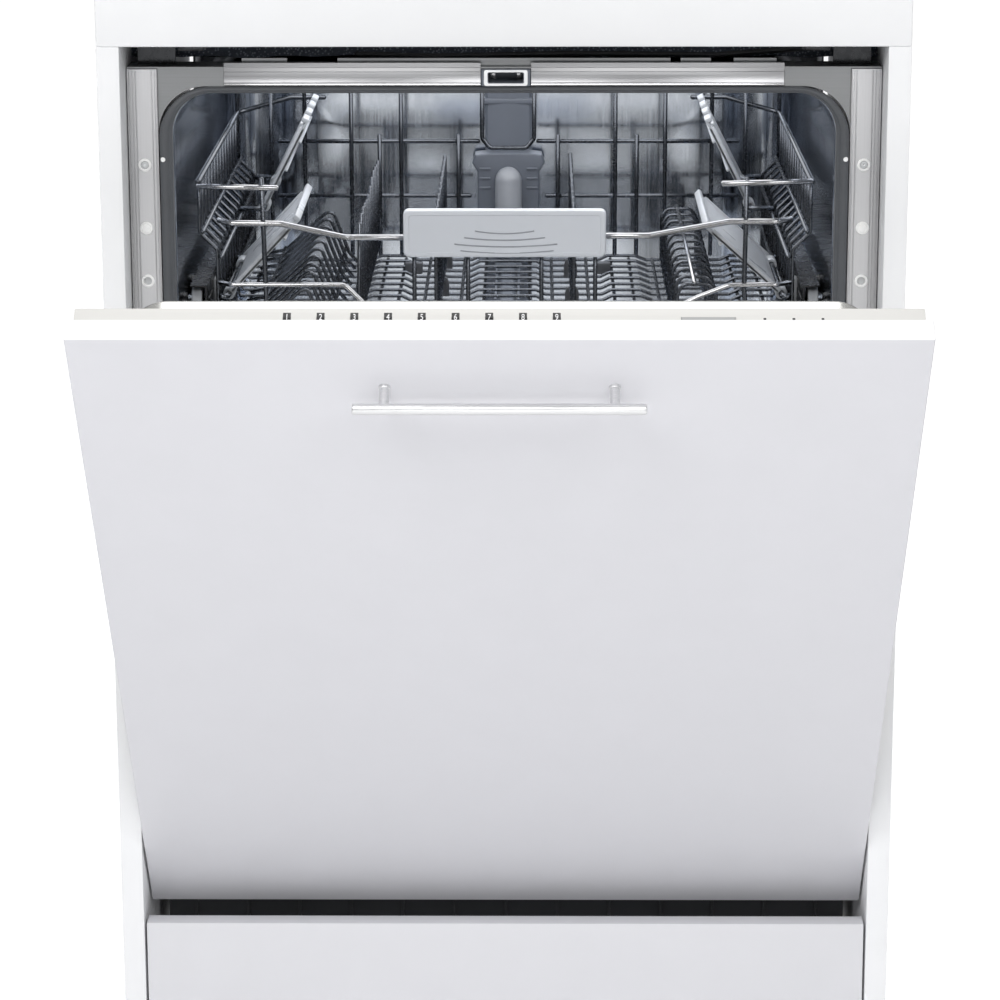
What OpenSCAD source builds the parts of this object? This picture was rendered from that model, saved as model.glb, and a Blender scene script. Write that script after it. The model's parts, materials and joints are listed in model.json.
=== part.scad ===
// Built in dishwasher in its cabinet niche, door ajar.
// X to the right, Y into the cabinet, Z up, floor at Z = 0, origin at the middle of the plinth's
// front lower edge. Everything on the door is drawn shut and then swung open by door_angle.

/* [Niche] */
// Clear width between the side panels
niche_w = 600; // [598:1:606]
// Height of the worktop's underside above the floor
niche_h = 821.6; // [821:0.2:824]
// Thickness of a side panel
board_t = 18; // [12:1:22]
// Depth of a side panel
board_d = 560; // [555:5:600]
// Thickness of the worktop
worktop_t = 38; // [20:1:60]
// Depth of the worktop
worktop_d = 600; // [595:5:650]
// Height of the plinth panel's top edge
plinth_top = 93.2; // [80:0.2:93.2]
// Thickness of the plinth panel
plinth_t = 18.5; // [12:0.5:18.5]

/* [Door] */
// Opening angle of the door at rest
door_angle = 37; // [0:1:90]
// Width of the furniture panel
panel_w = 596; // [590:1:596]
// Height of the furniture panel
panel_h = 720; // [715:1:720]
// Thickness of the furniture panel
panel_t = 18.4; // [16:0.2:18.4]
// Height of the furniture panel's lower edge when the door is shut
panel_z = 100; // [100:0.5:101]
// Length of the bar handle
handle_l = 204; // [180:2:260]
// Distance between the handle posts
handle_pitch = 160; // [128:2:160]
// Distance of the handle bar's axis from the panel's face
handle_reach = 20; // [18:1:30]
// Width of the control strip
strip_w = 587; // [560:1:590]
// Half width of the liner's raised middle
bulge_half = 261; // [255:0.5:261.5]
// Height of the top of the liner's raised middle
bulge_top = 776.5; // [770:0.5:776.5]
// Depth of the liner's raised middle into the tub
bulge_y = 77; // [70:0.5:77]

/* [Tub] */
// Half width inside the tub
tub_half = 264; // [264:0.5:268]
// Height of the tub's inner floor
tub_floor = 178; // [176:1:180]
// Height of the tub's inner roof
tub_roof = 781; // [781:0.5:783]
// Depth of the tub's inner rear wall
tub_back = 554; // [550:1:556]
// Radius of the tub's inner corners
tub_r = 36; // [30:1:40]
// Thickness of the tub sheet
tub_t = 2; // [1.5:0.5:2.5]

/* [Racks] */
// Height of the upper rack's floor wires
upper_z = 566; // [564:1:568]
// Height of the lower rack's floor wires
lower_z = 250; // [248:1:252]
// Width of a flat rack bar
bar = 4; // [3.5:0.5:4.5]
// Length of a cup shelf from its hinge to its free edge
shelf_l = 88; // [70:1:90]
// Tilt of the front left cup shelf above horizontal
tilt_fl = 47; // [15:1:87]
// Tilt of the front right cup shelf above horizontal
tilt_fr = 42; // [15:1:87]
// Tilt of the rear cup shelves above horizontal
tilt_rear = 63; // [15:1:87]

/* [Hidden] */
$fn = 48;
hinge_y = 31.3;
hinge_z = 168;
panel_y = 1;
panel_top = panel_z + panel_h;
half = niche_w / 2;
frame_half = 299;
seat_y = 40;
fix_x = 286.5;
fix_z = [722.6, 671.7, 628.6];
bracket_screws = [[277, 36], [252, 50]];
screw_r = 2;
shell_y = panel_y + panel_t + 0.2;
liner_y = 36;
liner_t = 1.2;
strip_top = panel_top - 6;
shell_top = 806;
window_y = 24;
key_x = 144;
post_r = 3.6;
bar_r = 4;
pin_r = 5;
run = 0.06;
roller_r = 14;
roller_z = 600;
roller_ys = [94, 170];
wheel_r = 17;
wheel_ys = [146, 468];
ledge_z = 212;
wheel_z = ledge_z + 0.3 + wheel_r;
arm_y = 300;
top_arm_y = 285;
shelf_x_front = 228;
shelf_z_front = 604;
shelf_x_rear = 214;
shelf_z_rear = 640;
shelf_wire_r = 2.5;
fold_x = 57;
fold_z = 574;
fold_r = 2;
cup_x = 40;
cup_y = 268;
cup_r = 29;
salt_x = -140;
salt_y = 200;
frames_n = 10;
apart = 0.1;
upper_low = upper_z - bar / 2;
upper_top = upper_low + bar + apart;
lower_low = lower_z - bar / 2;
lower_top = lower_low + bar + apart;
clips_left = [143, 315, 444];
clips_right = [186, 272, 401];
upper_y0 = 100;
upper_step = 43;
lower_y0 = 100;
lower_step = 46;
upper_y1 = upper_y0 + upper_step * (frames_n - 1);
lower_y1 = lower_y0 + lower_step * (frames_n - 1);
disp_x0 = -90;
disp_x1 = 70;
disp_z0 = 430;
disp_z1 = 560;
disp_face = bulge_y + 0.6;
rinse_x = 40;
rinse_z = 500;

// ---- helpers ----

// A box from its lowest to its highest corner.
module box(a, b) {
    translate(a) cube(b - a);
}

// Copies its children to the left as well.
module both_sides() {
    children();
    mirror([1, 0, 0]) children();
}

// Swings what is drawn on the shut door open to its rest angle.
module on_door() {
    translate([0, hinge_y, hinge_z]) rotate([door_angle, 0, 0]) translate([0, -hinge_y, -hinge_z])
        children();
}

// Extrudes an outline drawn in X and Z along Y, from y0 to y1.
module along_y(y0, y1) {
    translate([0, y1, 0]) rotate([90, 0, 0]) linear_extrude(y1 - y0) children();
}

// Extrudes an outline drawn in Y and Z along X, from x0 to x1.
module along_x(x0, x1) {
    translate([x0, 0, 0]) rotate([90, 0, 90]) linear_extrude(x1 - x0) children();
}

// A rod along X, from x0 to x1.
module rod_x(x0, x1, y, z, r) {
    translate([x0, y, z]) rotate([0, 90, 0]) cylinder(h = x1 - x0, r = r);
}

// A rod along Y, from y0 to y1.
module rod_y(x, y0, y1, z, r) {
    translate([x, y0, z]) rotate([-90, 0, 0]) cylinder(h = y1 - y0, r = r);
}

// A rod along Z, from z0 to z1.
module rod_z(x, y, z0, z1, r) {
    translate([x, y, z0]) cylinder(h = z1 - z0, r = r);
}

// A rectangle from a to b with round corners.
module soft_rect(a, b, r) {
    translate([a[0] + r, a[1]]) square([b[0] - a[0] - 2 * r, b[1] - a[1]]);
    translate([a[0], a[1] + r]) square([b[0] - a[0], b[1] - a[1] - 2 * r]);
    for (x = [a[0] + r, b[0] - r], y = [a[1] + r, b[1] - r]) translate([x, y]) circle(r);
}

// ---- cabinet around the machine ----

module worktop() {
    color("whitesmoke") difference() {
        box([-half - board_t, 0, niche_h], [half + board_t, worktop_d, niche_h + worktop_t]);
        both_sides() for (p = bracket_screws) rod_z(p[0], p[1], niche_h - 1, 835, screw_r + run);
    }
}

module side_panel() {
    color("whitesmoke") box([half, 0, 0], [half + board_t, board_d, niche_h]);
}

module side_panel_left() {
    mirror([1, 0, 0]) side_panel();
}

module side_panel_right() {
    side_panel();
}

module plinth_panel() {
    bevel = 0.8;
    color("gainsboro") along_x(-panel_w / 2, panel_w / 2) polygon([[0, 0], [plinth_t, 0],
        [plinth_t, plinth_top], [bevel, plinth_top], [0, plinth_top - bevel]]);
}

// ---- tub and front frame ----

// The tub's space grown by g on every side but the open front.
module tub_space(g, y0) {
    intersection() {
        along_y(y0, tub_back + g)
            soft_rect([-tub_half - g, tub_floor - g], [tub_half + g, tub_roof + g], tub_r + g);
        linear_extrude(niche_h) union() {
            translate([-tub_half - g, 0]) square([2 * (tub_half + g), tub_back - 26]);
            soft_rect([-tub_half - g, tub_back - 120], [tub_half + g, tub_back + g], 26 + g);
        }
    }
}

module tub() {
    sill_y = 64;
    sill_z = 186;
    color("lightsteelblue") {
        difference() {
            tub_space(tub_t, 50);
            tub_space(0, 49);
            rod_z(0, arm_y, 170, 184, 92);
            box([-280, 40, 170], [280, sill_y, 195]);
        }
        box([-tub_half + tub_r, sill_y, tub_floor - tub_t], [tub_half - tub_r, sill_y + 2, sill_z]);
        both_sides() {
            box([232, 79, ledge_z - 8], [tub_half - 1.6, 530, ledge_z]);
            for (y = roller_ys) roller_pin(y);
        }
    }
}

// A flanged pin for one of the upper rack's rollers, against the tub's wall.
module roller_pin(y) {
    x1 = tub_half - apart;
    rod_x(246, x1, y, roller_z, 4);
    rod_x(tub_half - 3, x1, y, roller_z, 8);
}

module frame_strips() {
    eye_r = 10;
    color("silver") both_sides() {
        difference() {
            box([275.3, seat_y, 190], [frame_half, seat_y + 2, 799]);
            for (z = fix_z) rod_y(fix_x, seat_y - 1, seat_y + 3, z, 3.9);
        }
        box([297, seat_y + 2, 190], [frame_half, 80, 799]);
        box([275.3, seat_y + 2, 230], [276.5, 49.5, 740]);
        along_x(291, 295) union() {
            translate([hinge_y, hinge_z]) circle(eye_r);
            translate([hinge_y, hinge_z - 9.5]) square([150 - hinge_y, 22]);
            translate([44, hinge_z]) square([106, 62]);
        }
        box([294, 50, 195], [298, 78, 228]);
        rod_x(281.4, 292, hinge_y, hinge_z, pin_r);
    }
}

module gasket_outline() {
    soft_rect([-275.1, 120], [275.1, 785.1], 38);
}

module top_crosspiece() {
    color("gray") {
        difference() {
            both_sides() box([222.3, 43, 747], [275.2, 44.5, 799.2]);
            along_y(40, 48) gasket_outline();
        }
        box([-frame_half, 42.2, 799.2], [frame_half, 75, 800.7]);
        for (x = [[-208, -172], [-132, 132], [140, 164], [182, 216]])
            box([x[0], 46.2, 800.7], [x[1], 48, 807]);
    }
}

module top_trim() {
    color("silver") for (x = [[-222, -18.2], [21.2, 222]])
        along_x(x[0], x[1]) polygon([[39.4, 785.3], [46, 785.3], [46, 799], [42, 799],
            [42, 804], [40.2, 804], [40.2, 789], [39.4, 788]]);
}

module door_gasket() {
    color("dimgray") difference() {
        along_y(39, 50) soft_rect([-275, 120], [275, 785], 38);
        along_y(38, 51) soft_rect([-tub_half, 100], [tub_half, 780], 32);
        box([-280, 30, 100], [280, 60, 205]);
    }
}

module latch_housing() {
    color("dimgray") difference() {
        box([-18, 39.2, 785.3], [21, 70, 799]);
        box([-12, 38, 788], [15, 62, 796.5]);
    }
}

module frame_screws() {
    color("lightgray") both_sides() {
        rod_y(fix_x, 39.6, 41.5, fix_z[0], 3);
        rod_y(fix_x, 41, 60, fix_z[0], screw_r);
        for (p = bracket_screws) {
            rod_z(p[0], p[1], 817.2, 819.6, 4.5);
            rod_z(p[0], p[1], 819.6, 834, screw_r);
        }
    }
}

// A collar in one of the frame's holes, with its own hole where bore is above zero.
module collar(z, bore) {
    difference() {
        union() {
            rod_y(fix_x, 39.2, seat_y, z, 4.7);
            rod_y(fix_x, seat_y, 44, z, 3.9);
        }
        if (bore > 0) rod_y(fix_x, 38, 45, z, bore);
    }
}

module hole_caps() {
    color("white") both_sides() {
        collar(fix_z[0], 3.1);
        collar(fix_z[1], 0);
        collar(fix_z[2], 3.1);
    }
}

module worktop_brackets() {
    color("silver") both_sides() difference() {
        union() {
            box([236, 24, 819.6], [295, 62, niche_h]);
            box([262, 60, 800.8], [292, 62, 820]);
            box([236, 44, 814], [238, 62, 820]);
        }
        for (p = bracket_screws) rod_z(p[0], p[1], 815, 825, screw_r + run);
    }
}

module sound_blanket() {
    color("darkslategray") {
        box([-226, 78, 783.3], [226, 550, 786.5]);
        both_sides() box([266.3, 90, 216], [269.3, 520, 744]);
        box([-236, 556.3, 190], [236, 559.3, 744]);
    }
}

// ---- base and machinery ----

module base_tray() {
    wall = 3;
    color("dimgray") {
        difference() {
            box([-291, 112, 22], [291, 552, 176]);
            box([-291 + wall, 112 + wall, 26], [291 - wall, 552 - wall, 180]);
            rod_y(-180, 540, 560, 75, 15);
            rod_y(-110, 540, 560, 75, 12);
            rod_y(175, 540, 560, 75, 11);
        }
        both_sides() box([213, 113, 25], [217, 551, 176]);
    }
}

module rear_frame() {
    color("lightgray") {
        both_sides() {
            box([289, 500, 176], [291, 560, 800]);
            box([272, 558, 176], [291, 560, 800]);
        }
        box([-291, 530, 798], [291, 560, 800]);
        box([-291, 558, 788], [291, 560, 800]);
    }
}

module feet() {
    color("dimgray") both_sides() for (y = [150, 520]) {
        rod_z(255, y, 0, 7, 18);
        rod_z(255, y, 6, 22, 7);
    }
}

module sump() {
    color("gray") {
        difference() {
            rod_z(0, arm_y, 60, tub_floor - tub_t, 95);
            rod_z(0, arm_y, 66, 190, 89);
        }
        rod_z(0, arm_y, 66, 199.6, 14);
        rod_z(0, arm_y, 199, 214, 10);
        rod_z(0, arm_y, 212.4, 217, 14);
        rod_z(0, arm_y, 30, 60, 30);
    }
}

module filter_plate() {
    color("silver") difference() {
        rod_z(0, arm_y, tub_floor, tub_floor + 2, 104);
        rod_z(0, arm_y, 170, 190, 14.2);
        rod_z(cup_x, cup_y, 170, 190, cup_r + 0.6);
    }
}

module filter_cup() {
    color("gray") {
        difference() {
            rod_z(cup_x, cup_y, 110, 181, cup_r);
            rod_z(cup_x, cup_y, 113, 190, cup_r - 2.4);
        }
        difference() {
            rod_z(cup_x, cup_y, tub_floor + 2.4, 184, cup_r + 4);
            rod_z(cup_x, cup_y, 170, 190, cup_r - 2.4);
        }
        for (a = [0, 90, 180, 270]) translate([cup_x, cup_y, 0]) rotate([0, 0, a])
            box([cup_r - 1, -7, 183], [cup_r + 3, 7, 194]);
    }
}

module salt_cap() {
    color("lightgray") {
        rod_z(salt_x, salt_y, tub_floor + 0.4, 188, 30);
        translate([salt_x, salt_y, 0]) rotate([0, 0, 45]) box([-24, -4, 187], [24, 4, 196]);
    }
}

module wash_pump() {
    color("slategray") {
        rod_x(99, 120, arm_y, 110, 46);
        rod_x(118, 190, arm_y, 110, 38);
        rod_x(188, 204, arm_y, 110, 22);
        box([125, arm_y - 30, 26], [185, arm_y + 30, 80]);
    }
}

module drain_pump() {
    color("slategray") {
        rod_y(-110, 500, 549, 75, 26);
        rod_y(-110, 470, 502, 75, 20);
        rod_y(-110, 545, 592, 75, 10);
        rod_y(-110, 552, 556, 75, 17);
    }
}

module inlet_valve() {
    color("white") {
        box([-200, 505, 55], [-160, 549, 100]);
        rod_y(-180, 545, 574, 75, 13.2);
        rod_y(-180, 552, 556, 75, 19);
    }
}

module power_box() {
    color("dimgray") difference() {
        union() {
            box([150, 500, 50], [200, 549, 105]);
            rod_y(175, 545, 568, 75, 9);
            rod_y(175, 552, 555, 75, 14);
        }
        rod_y(175, 540, 570, 75, 4.2);
    }
}

module feed_duct() {
    color("slategray") {
        box([-22, 538, 182], [22, tub_back, 778]);
        box([-29, 512, 556], [29, 540, 652]);
        box([-34, 520, 648], [34, 540, 656]);
        rod_z(0, 508, 560, 638, 12.5);
        rod_z(0, 508, 630, 645, 9);
        rod_y(0, 300, 545, 771, 6);
        rod_z(0, 300, 758, 779, 16);
    }
}

// ---- spray arms ----

// A two bladed arm about a vertical hub at (x 0, y), from z0 to z1.
module spray_arm(y, reach, width, z0, z1, hub_r, hub_z0, hub_z1, bore) {
    difference() {
        union() {
            translate([-reach + width / 2, y - width / 2, z0])
                cube([2 * reach - width, width, z1 - z0]);
            for (x = [-reach + width / 2, reach - width / 2]) rod_z(x, y, z0, z1, width / 2);
            rod_z(0, y, hub_z0, hub_z1, hub_r);
        }
        rod_z(0, y, hub_z0 - 1, hub_z1 + 1, bore);
    }
}

module lower_arm() {
    color("slategray") spray_arm(arm_y, 214, 44, 202, 210, 22, 200, 212, 10 + run);
}

module upper_arm() {
    color("slategray") spray_arm(top_arm_y, 184, 34, 526, 534, 17, 524, 536, 8 + run);
}

// ---- rollers and wheels ----

module roller(side, i) {
    color("lightgray") scale([side, 1, 1]) difference() {
        rod_x(247.6, 256, roller_ys[i], roller_z, roller_r);
        rod_x(240, 260, roller_ys[i], roller_z, 4 + run);
    }
}

module wheel(side, i) {
    color("gray") scale([side, 1, 1]) difference() {
        rod_x(237, 247, wheel_ys[i], wheel_z, wheel_r);
        rod_x(230, 260, wheel_ys[i], wheel_z, 4 + run);
    }
}

// ---- upper rack ----

// The walls, tines and clips of both racks stand a hair clear of the floor grids.

// Floor grid of the upper rack.
module upper_floor() {
    for (i = [0 : frames_n - 1]) {
        y = upper_y0 + upper_step * i;
        box([-238, y - bar / 2, upper_low], [238, y + bar / 2, upper_low + bar]);
    }
    for (x = [-204, -150, -120, -95, -fold_x, -20, 20, fold_x, 95, 150, 204])
        box([x - bar / 2, 90, upper_low - 2], [x + bar / 2, upper_y1 + 2, upper_low + 2]);
    box([-238, 90, upper_low - 2], [238, 94, upper_low + 2]);
    both_sides() box([234, 90, upper_low - 2], [238, 101, upper_low + 2]);
}

// Right side wall of the upper rack: stepped uprights under a rim bar.
module upper_side() {
    inner = 234;
    outer = 248;
    step0 = 641;
    step1 = 655;
    rim = 700;
    for (i = [0 : frames_n - 1]) {
        y = upper_y0 + upper_step * i;
        along_y(y - bar / 2, y + bar / 2) polygon([[inner, upper_top], [inner + bar, upper_top],
            [inner + bar, step0], [outer + bar, step1], [outer + bar, rim], [outer, rim],
            [outer, step1 + 1.6], [inner, step0 + 1.6]]);
    }
    box([outer, 94 + apart, rim - 2], [outer + bar, upper_y1 + 2, rim + 2]);
}

// Right half of the upper rack's front wall.
module upper_front_half() {
    z0 = upper_low + 2 + apart;
    box([196, 90, z0], [200, 94, 704]);
    box([176, 90, 696], [252, 94, 700]);
    box([80, 90, 654], [216, 94, 658]);
    box([150, 90, 612], [216, 94, 616]);
    box([124, 90, z0], [128, 94, 656]);
}

// Right half of the upper rack's rear wall.
module upper_rear_half() {
    y0 = upper_y1 - 1;
    y1 = upper_y1 + 3;
    for (x = [46, 99, 145, 188])
        box([x - 2, upper_y1 - 2, upper_top], [x + 2, upper_y1 + 2, 742]);
    box([22, upper_y1 - 2, 671], [26, upper_y1 + 2, 742]);
    box([22, y0, 671], [236, y1, 675]);
    box([50, y0, 620], [234 - apart, y1, 624]);
    box([188, y0, 738], [252, y1, 742]);
}

// A rod for a shelf's knuckles, held at both ends by the side wall.
module shelf_wire(x, z, y0, y1, ends) {
    rod_y(x, y0, y1, z, shelf_wire_r);
    for (y = ends) box([x, y - 2, z - 2], [234 - apart, y + 2, z + 2]);
}

// Nine fixed tines on a foot bar, from height z0 to z1.
module tine_row(x, y0, step, z0, z1) {
    box([x - 1.5, y0 - 2, z0], [x + 1.5, y0 + 8 * step + 2, z0 + 3]);
    for (i = [0 : 8]) rod_z(x, y0 + step * i, z0, z1, 2);
}

// A clip that holds a folding row's rod.
module clip(x, y) {
    difference() {
        box([x - 5, y - 3, upper_top], [x + 5, y + 3, 579]);
        rod_y(x, y - 4, y + 4, fold_z, fold_r + run);
    }
}

module upper_basket() {
    color("slategray") {
        upper_floor();
        tine_row(-120, 112, 43, upper_top, 668);
        both_sides() {
            upper_side();
            upper_front_half();
            upper_rear_half();
            shelf_wire(shelf_x_front, shelf_z_front, 97, 278, [100, 272]);
            shelf_wire(shelf_x_rear, shelf_z_rear, 312, 490, [315, 487]);
        }
        for (y = clips_left) clip(-fold_x, y);
        for (y = clips_right) clip(fold_x, y);
    }
}

module upper_rails() {
    color("silver") both_sides() {
        box([243, 80, 583], [245, 490, 617]);
        box([244, 80, roller_z + roller_r + 0.4], [257, 490, 617]);
        box([244, 80, 583], [257, 490, 585.4]);
        for (y = [143, 315, 487]) box([238, y - 6, 590], [244, y + 6, 608]);
    }
}

module upper_feed() {
    color("slategray") {
        rod_y(0, top_arm_y, 491, 551, 9);
        rod_z(0, top_arm_y, 521, 551, 8);
        rod_z(0, top_arm_y, 518, 523.4, 13);
        rod_z(0, top_arm_y, 536.6, 556, 13);
        box([-13, 484, 540], [13, 491, 561]);
    }
}

module upper_handle() {
    bow_r = 900;
    color("lightsteelblue") along_y(81, 90) intersection() {
        soft_rect([-82.5, 636], [82.5, 679], 3);
        translate([0, 636.6 + bow_r]) circle(bow_r, $fn = 400);
    }
}

// A cup shelf that reaches from its hinge towards +X, level.
module shelf_flat(y0, y1) {
    difference() {
        union() {
            box([3, y0, -1.5], [shelf_l, y1, 1.5]);
            box([shelf_l - 4, y0, -1.5], [shelf_l, y1, 4]);
            for (x = [16 : 12 : 76]) box([x, y0 + 4, 1], [x + 2, y1 - 4, 3.4]);
            for (y = [y0 + 6, y1 - 26]) rod_y(0, y, y + 20, 0, 5);
        }
        rod_y(0, y0 - 1, y1 + 1, 0, shelf_wire_r + run);
        for (y = [[y0 - 1, y0 + 5.7], [y0 + 26.3, y1 - 26.3], [y1 - 5.7, y1 + 1]])
            box([-6, y[0], -6], [5.6, y[1], 6]);
    }
}

module shelf(side, x, z, tilt, y0, y1) {
    color("lightsteelblue") scale([side, 1, 1]) translate([-x, 0, z]) rotate([0, -tilt, 0])
        shelf_flat(y0, y1);
}

// A row of upright tines on one rod, for a hinge at x.
module fold_row(x, ys, y0, y1) {
    color("slategray") {
        rod_y(x, y0, y1, fold_z, fold_r);
        for (y = ys) rod_z(x, y, fold_z, 670, 1.8);
    }
}

// ---- lower rack ----

// Floor grid of the lower rack.
module lower_floor() {
    for (i = [0 : frames_n - 1]) {
        y = lower_y0 + lower_step * i;
        box([-230, y - bar / 2, lower_low], [230, y + bar / 2, lower_low + bar]);
    }
    for (x = [-170, -120, -70, -20, 30, 80, 140, 200])
        box([x - bar / 2, 92, lower_low - 2], [x + bar / 2, lower_y1 + 2, lower_low + 2]);
    box([-230, 92, lower_low], [230, 96, lower_low + bar]);
}

// Right side wall of the lower rack.
module lower_side() {
    for (i = [0 : frames_n - 1]) {
        y = lower_y0 + lower_step * i;
        box([226, y - bar / 2, lower_top], [230, y + bar / 2, 392]);
    }
    for (z = [318, 390]) box([226, 92, z], [230, lower_y1 + 2, z + 4]);
}

// Front or rear wall of the lower rack, from depth y.
module lower_end(y) {
    x1 = 226 - apart;
    for (z = [318, 390]) box([-x1, y, z], [x1, y + 4, z + 4]);
    for (x = [-182 : 52 : 182]) box([x - 2, y, lower_top], [x + 2, y + 4, 392]);
}

// A bracket under the lower rack with the pin of a wheel.
module wheel_bracket(y) {
    box([226, y - 7, wheel_z - 8], [230, y + 7, lower_low - apart]);
    rod_x(229, 249, y, wheel_z, 4);
}

module lower_basket() {
    color("slategray") {
        lower_floor();
        for (x = [-170, -70, 30])
            tine_row(x, lower_y0 + lower_step / 2, lower_step, lower_top, 332);
        both_sides() {
            lower_side();
            for (y = wheel_ys) wheel_bracket(y);
        }
        lower_end(92);
        lower_end(lower_y1 - 2);
    }
}

module cutlery_basket() {
    z0 = lower_low + bar + 0.2;
    color("gray") difference() {
        box([104, 124, z0], [212, 364, 372]);
        for (x = [[107, 155], [158, 209]], y = [[127, 203], [206, 282], [285, 361]])
            box([x[0], y[0], z0 + 3], [x[1], y[1], 380]);
    }
}

// ---- door ----

module furniture_panel() {
    color("gainsboro") on_door()
        box([-panel_w / 2, panel_y, panel_z], [panel_w / 2, panel_y + panel_t, panel_top]);
}

module door_shell() {
    t = 1.5;
    color("lightgray") on_door() difference() {
        union() {
            box([-293, shell_y, 226], [293, liner_y, shell_top]);
            box([-281, shell_y, 142], [281, liner_y, 227]);
        }
        box([-293 + t, shell_y + t, 226 + t], [293 - t, liner_y + 1, shell_top - t]);
        box([-281 + t, shell_y + t, 142 + t], [281 - t, liner_y + 1, 230]);
    }
}

// The liner's raised middle, drawn in by g from its outer skin.
module bulge(g, y0) {
    edge = 8;
    intersection() {
        along_y(y0, bulge_y - g)
            soft_rect([-bulge_half + g, 120], [bulge_half - g, bulge_top - g], 28 - g);
        along_x(-bulge_half, bulge_half) union() {
            polygon([[y0, 163.8 + g], [37.2, 163.8 + g], [bulge_y - g, 200 + g],
                [bulge_y - g, bulge_top - edge], [bulge_y - edge, bulge_top - g],
                [y0, bulge_top - g]]);
            translate([bulge_y - edge, bulge_top - edge]) circle(edge - g);
        }
        along_y(y0 - 1, bulge_y)
            soft_rect([-bulge_half + g, 160 + g], [bulge_half - g, 900], 62 - g);
    }
}

module door_liner() {
    color("whitesmoke") on_door() difference() {
        union() {
            box([-287, liner_y, 228], [287, liner_y + liner_t, shell_top]);
            box([-280.9, liner_y, 142], [280.9, liner_y + liner_t, 229]);
            bulge(0, liner_y);
        }
        bulge(liner_t, liner_y - 1);
        box([disp_x0, 50, disp_z0], [disp_x1, 80, disp_z1]);
    }
}

module control_strip() {
    color("whitesmoke") on_door() difference() {
        box([-strip_w / 2, shell_y, shell_top], [strip_w / 2, liner_y, strip_top]);
        windows();
        box([key_x - 19, 22.6, shell_top - 1], [key_x + 19, 26.6, strip_top + 1]);
    }
}

// Nine square windows and three slim ones, sunk in the control strip.
module windows() {
    side = 5.5;
    for (i = [0 : 8]) {
        x = -146.4 + 23.25 * i;
        box([x - side / 2, window_y - side / 2, strip_top - 2],
            [x + side / 2, window_y + side / 2, strip_top + 0.1]);
    }
    for (i = [0 : 2]) {
        x = 182.7 + 19.95 * i;
        box([x - 1.2, window_y - 2, strip_top - 2], [x + 1.2, window_y + 2, strip_top + 0.1]);
    }
}

module display_windows() {
    color("black") on_door() windows();
}

module power_key() {
    color("darkgray") on_door() box([key_x - 18.7, 22.9, shell_top + 1.5],
        [key_x + 18.7, 26.3, strip_top + 0.8]);
}

module door_handle() {
    z = panel_z + 669.6;
    y = panel_y - handle_reach;
    color("silver") on_door() {
        rod_x(-handle_l / 2, handle_l / 2, y, z, bar_r);
        for (x = [-handle_pitch / 2, handle_pitch / 2]) rod_y(x, y, panel_y, z, post_r);
    }
}

module hinge_arms() {
    color("silver") on_door() both_sides() difference() {
        union() {
            rod_x(281, 287, hinge_y, hinge_z, 9.5);
            box([281, 23, hinge_z], [287, 35.5, 225.5]);
        }
        rod_x(280, 290, hinge_y, hinge_z, pin_r + run);
    }
}

module latch_hook() {
    color("silver") on_door() difference() {
        box([-6, liner_y + liner_t, 789], [9, 49.5, 794]);
        box([-2.5, 40.5, 780], [5.5, 46.5, 800]);
    }
}

module dispenser_body() {
    color("gray") on_door() difference() {
        box([disp_x0, 55, disp_z0], [disp_x1, disp_face, disp_z1]);
        box([disp_x0 + 9, 59, disp_z0 + 9], [-15, disp_face + 1, disp_z1 - 9]);
        rod_y(rinse_x, 66, disp_face + 1, rinse_z, 18.4);
    }
}

module dispenser_lid() {
    z1 = disp_z1 - 9.5;
    hinge_r = 2;
    color("lightgray") on_door() {
        box([disp_x0 + 9.5, disp_face - 2.4, disp_z0 + 9.5], [-15.5, disp_face - 0.4, z1 - 2]);
        rod_x(disp_x0 + 9.5, -15.5, disp_face - 2.4, z1 - hinge_r, hinge_r);
    }
}

module rinse_cap() {
    color("lightgray") on_door() {
        rod_y(rinse_x, 66.4, disp_face - 0.4, rinse_z, 18);
        box([rinse_x - 14, disp_face - 0.6, rinse_z - 2.5], [rinse_x + 14, disp_face + 3, rinse_z + 2.5]);
    }
}

worktop();
side_panel_left();
side_panel_right();
plinth_panel();
tub();
frame_strips();
top_crosspiece();
top_trim();
door_gasket();
latch_housing();
frame_screws();
hole_caps();
worktop_brackets();
sound_blanket();
base_tray();
rear_frame();
feet();
sump();
filter_plate();
wash_pump();
drain_pump();
inlet_valve();
power_box();
feed_duct();
filter_cup();
salt_cap();
lower_arm();
roller(-1, 0);  // roller_front_left
roller(1, 0);  // roller_front_right
roller(-1, 1);  // roller_rear_left
roller(1, 1);  // roller_rear_right
upper_basket();
upper_rails();
upper_feed();
upper_handle();
upper_arm();
shelf(1, shelf_x_front, shelf_z_front, tilt_fl, 107, 266);  // shelf_front_left
shelf(-1, shelf_x_front, shelf_z_front, tilt_fr, 107, 266);  // shelf_front_right
shelf(1, shelf_x_rear, shelf_z_rear, tilt_rear, 322, 480);  // shelf_rear_left
shelf(-1, shelf_x_rear, shelf_z_rear, tilt_rear, 322, 480);  // shelf_rear_right
fold_row(-fold_x, [for (i = [0 : 10]) 125 + 30 * i], 110, 470);  // fold_tines_left
fold_row(fold_x, [for (i = [0 : 10]) 140 + 30 * i], 115, 468);  // fold_tines_right
lower_basket();
cutlery_basket();
wheel(-1, 0);  // wheel_front_left
wheel(1, 0);  // wheel_front_right
wheel(-1, 1);  // wheel_rear_left
wheel(1, 1);  // wheel_rear_right
furniture_panel();
door_shell();
door_liner();
control_strip();
door_handle();
hinge_arms();
latch_hook();
display_windows();
power_key();
dispenser_body();
dispenser_lid();
rinse_cap();
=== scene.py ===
import json
import math
from types import SimpleNamespace

import bmesh
import bpy
from mathutils import Matrix, Vector
from mathutils.geometry import tessellate_polygon


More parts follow.
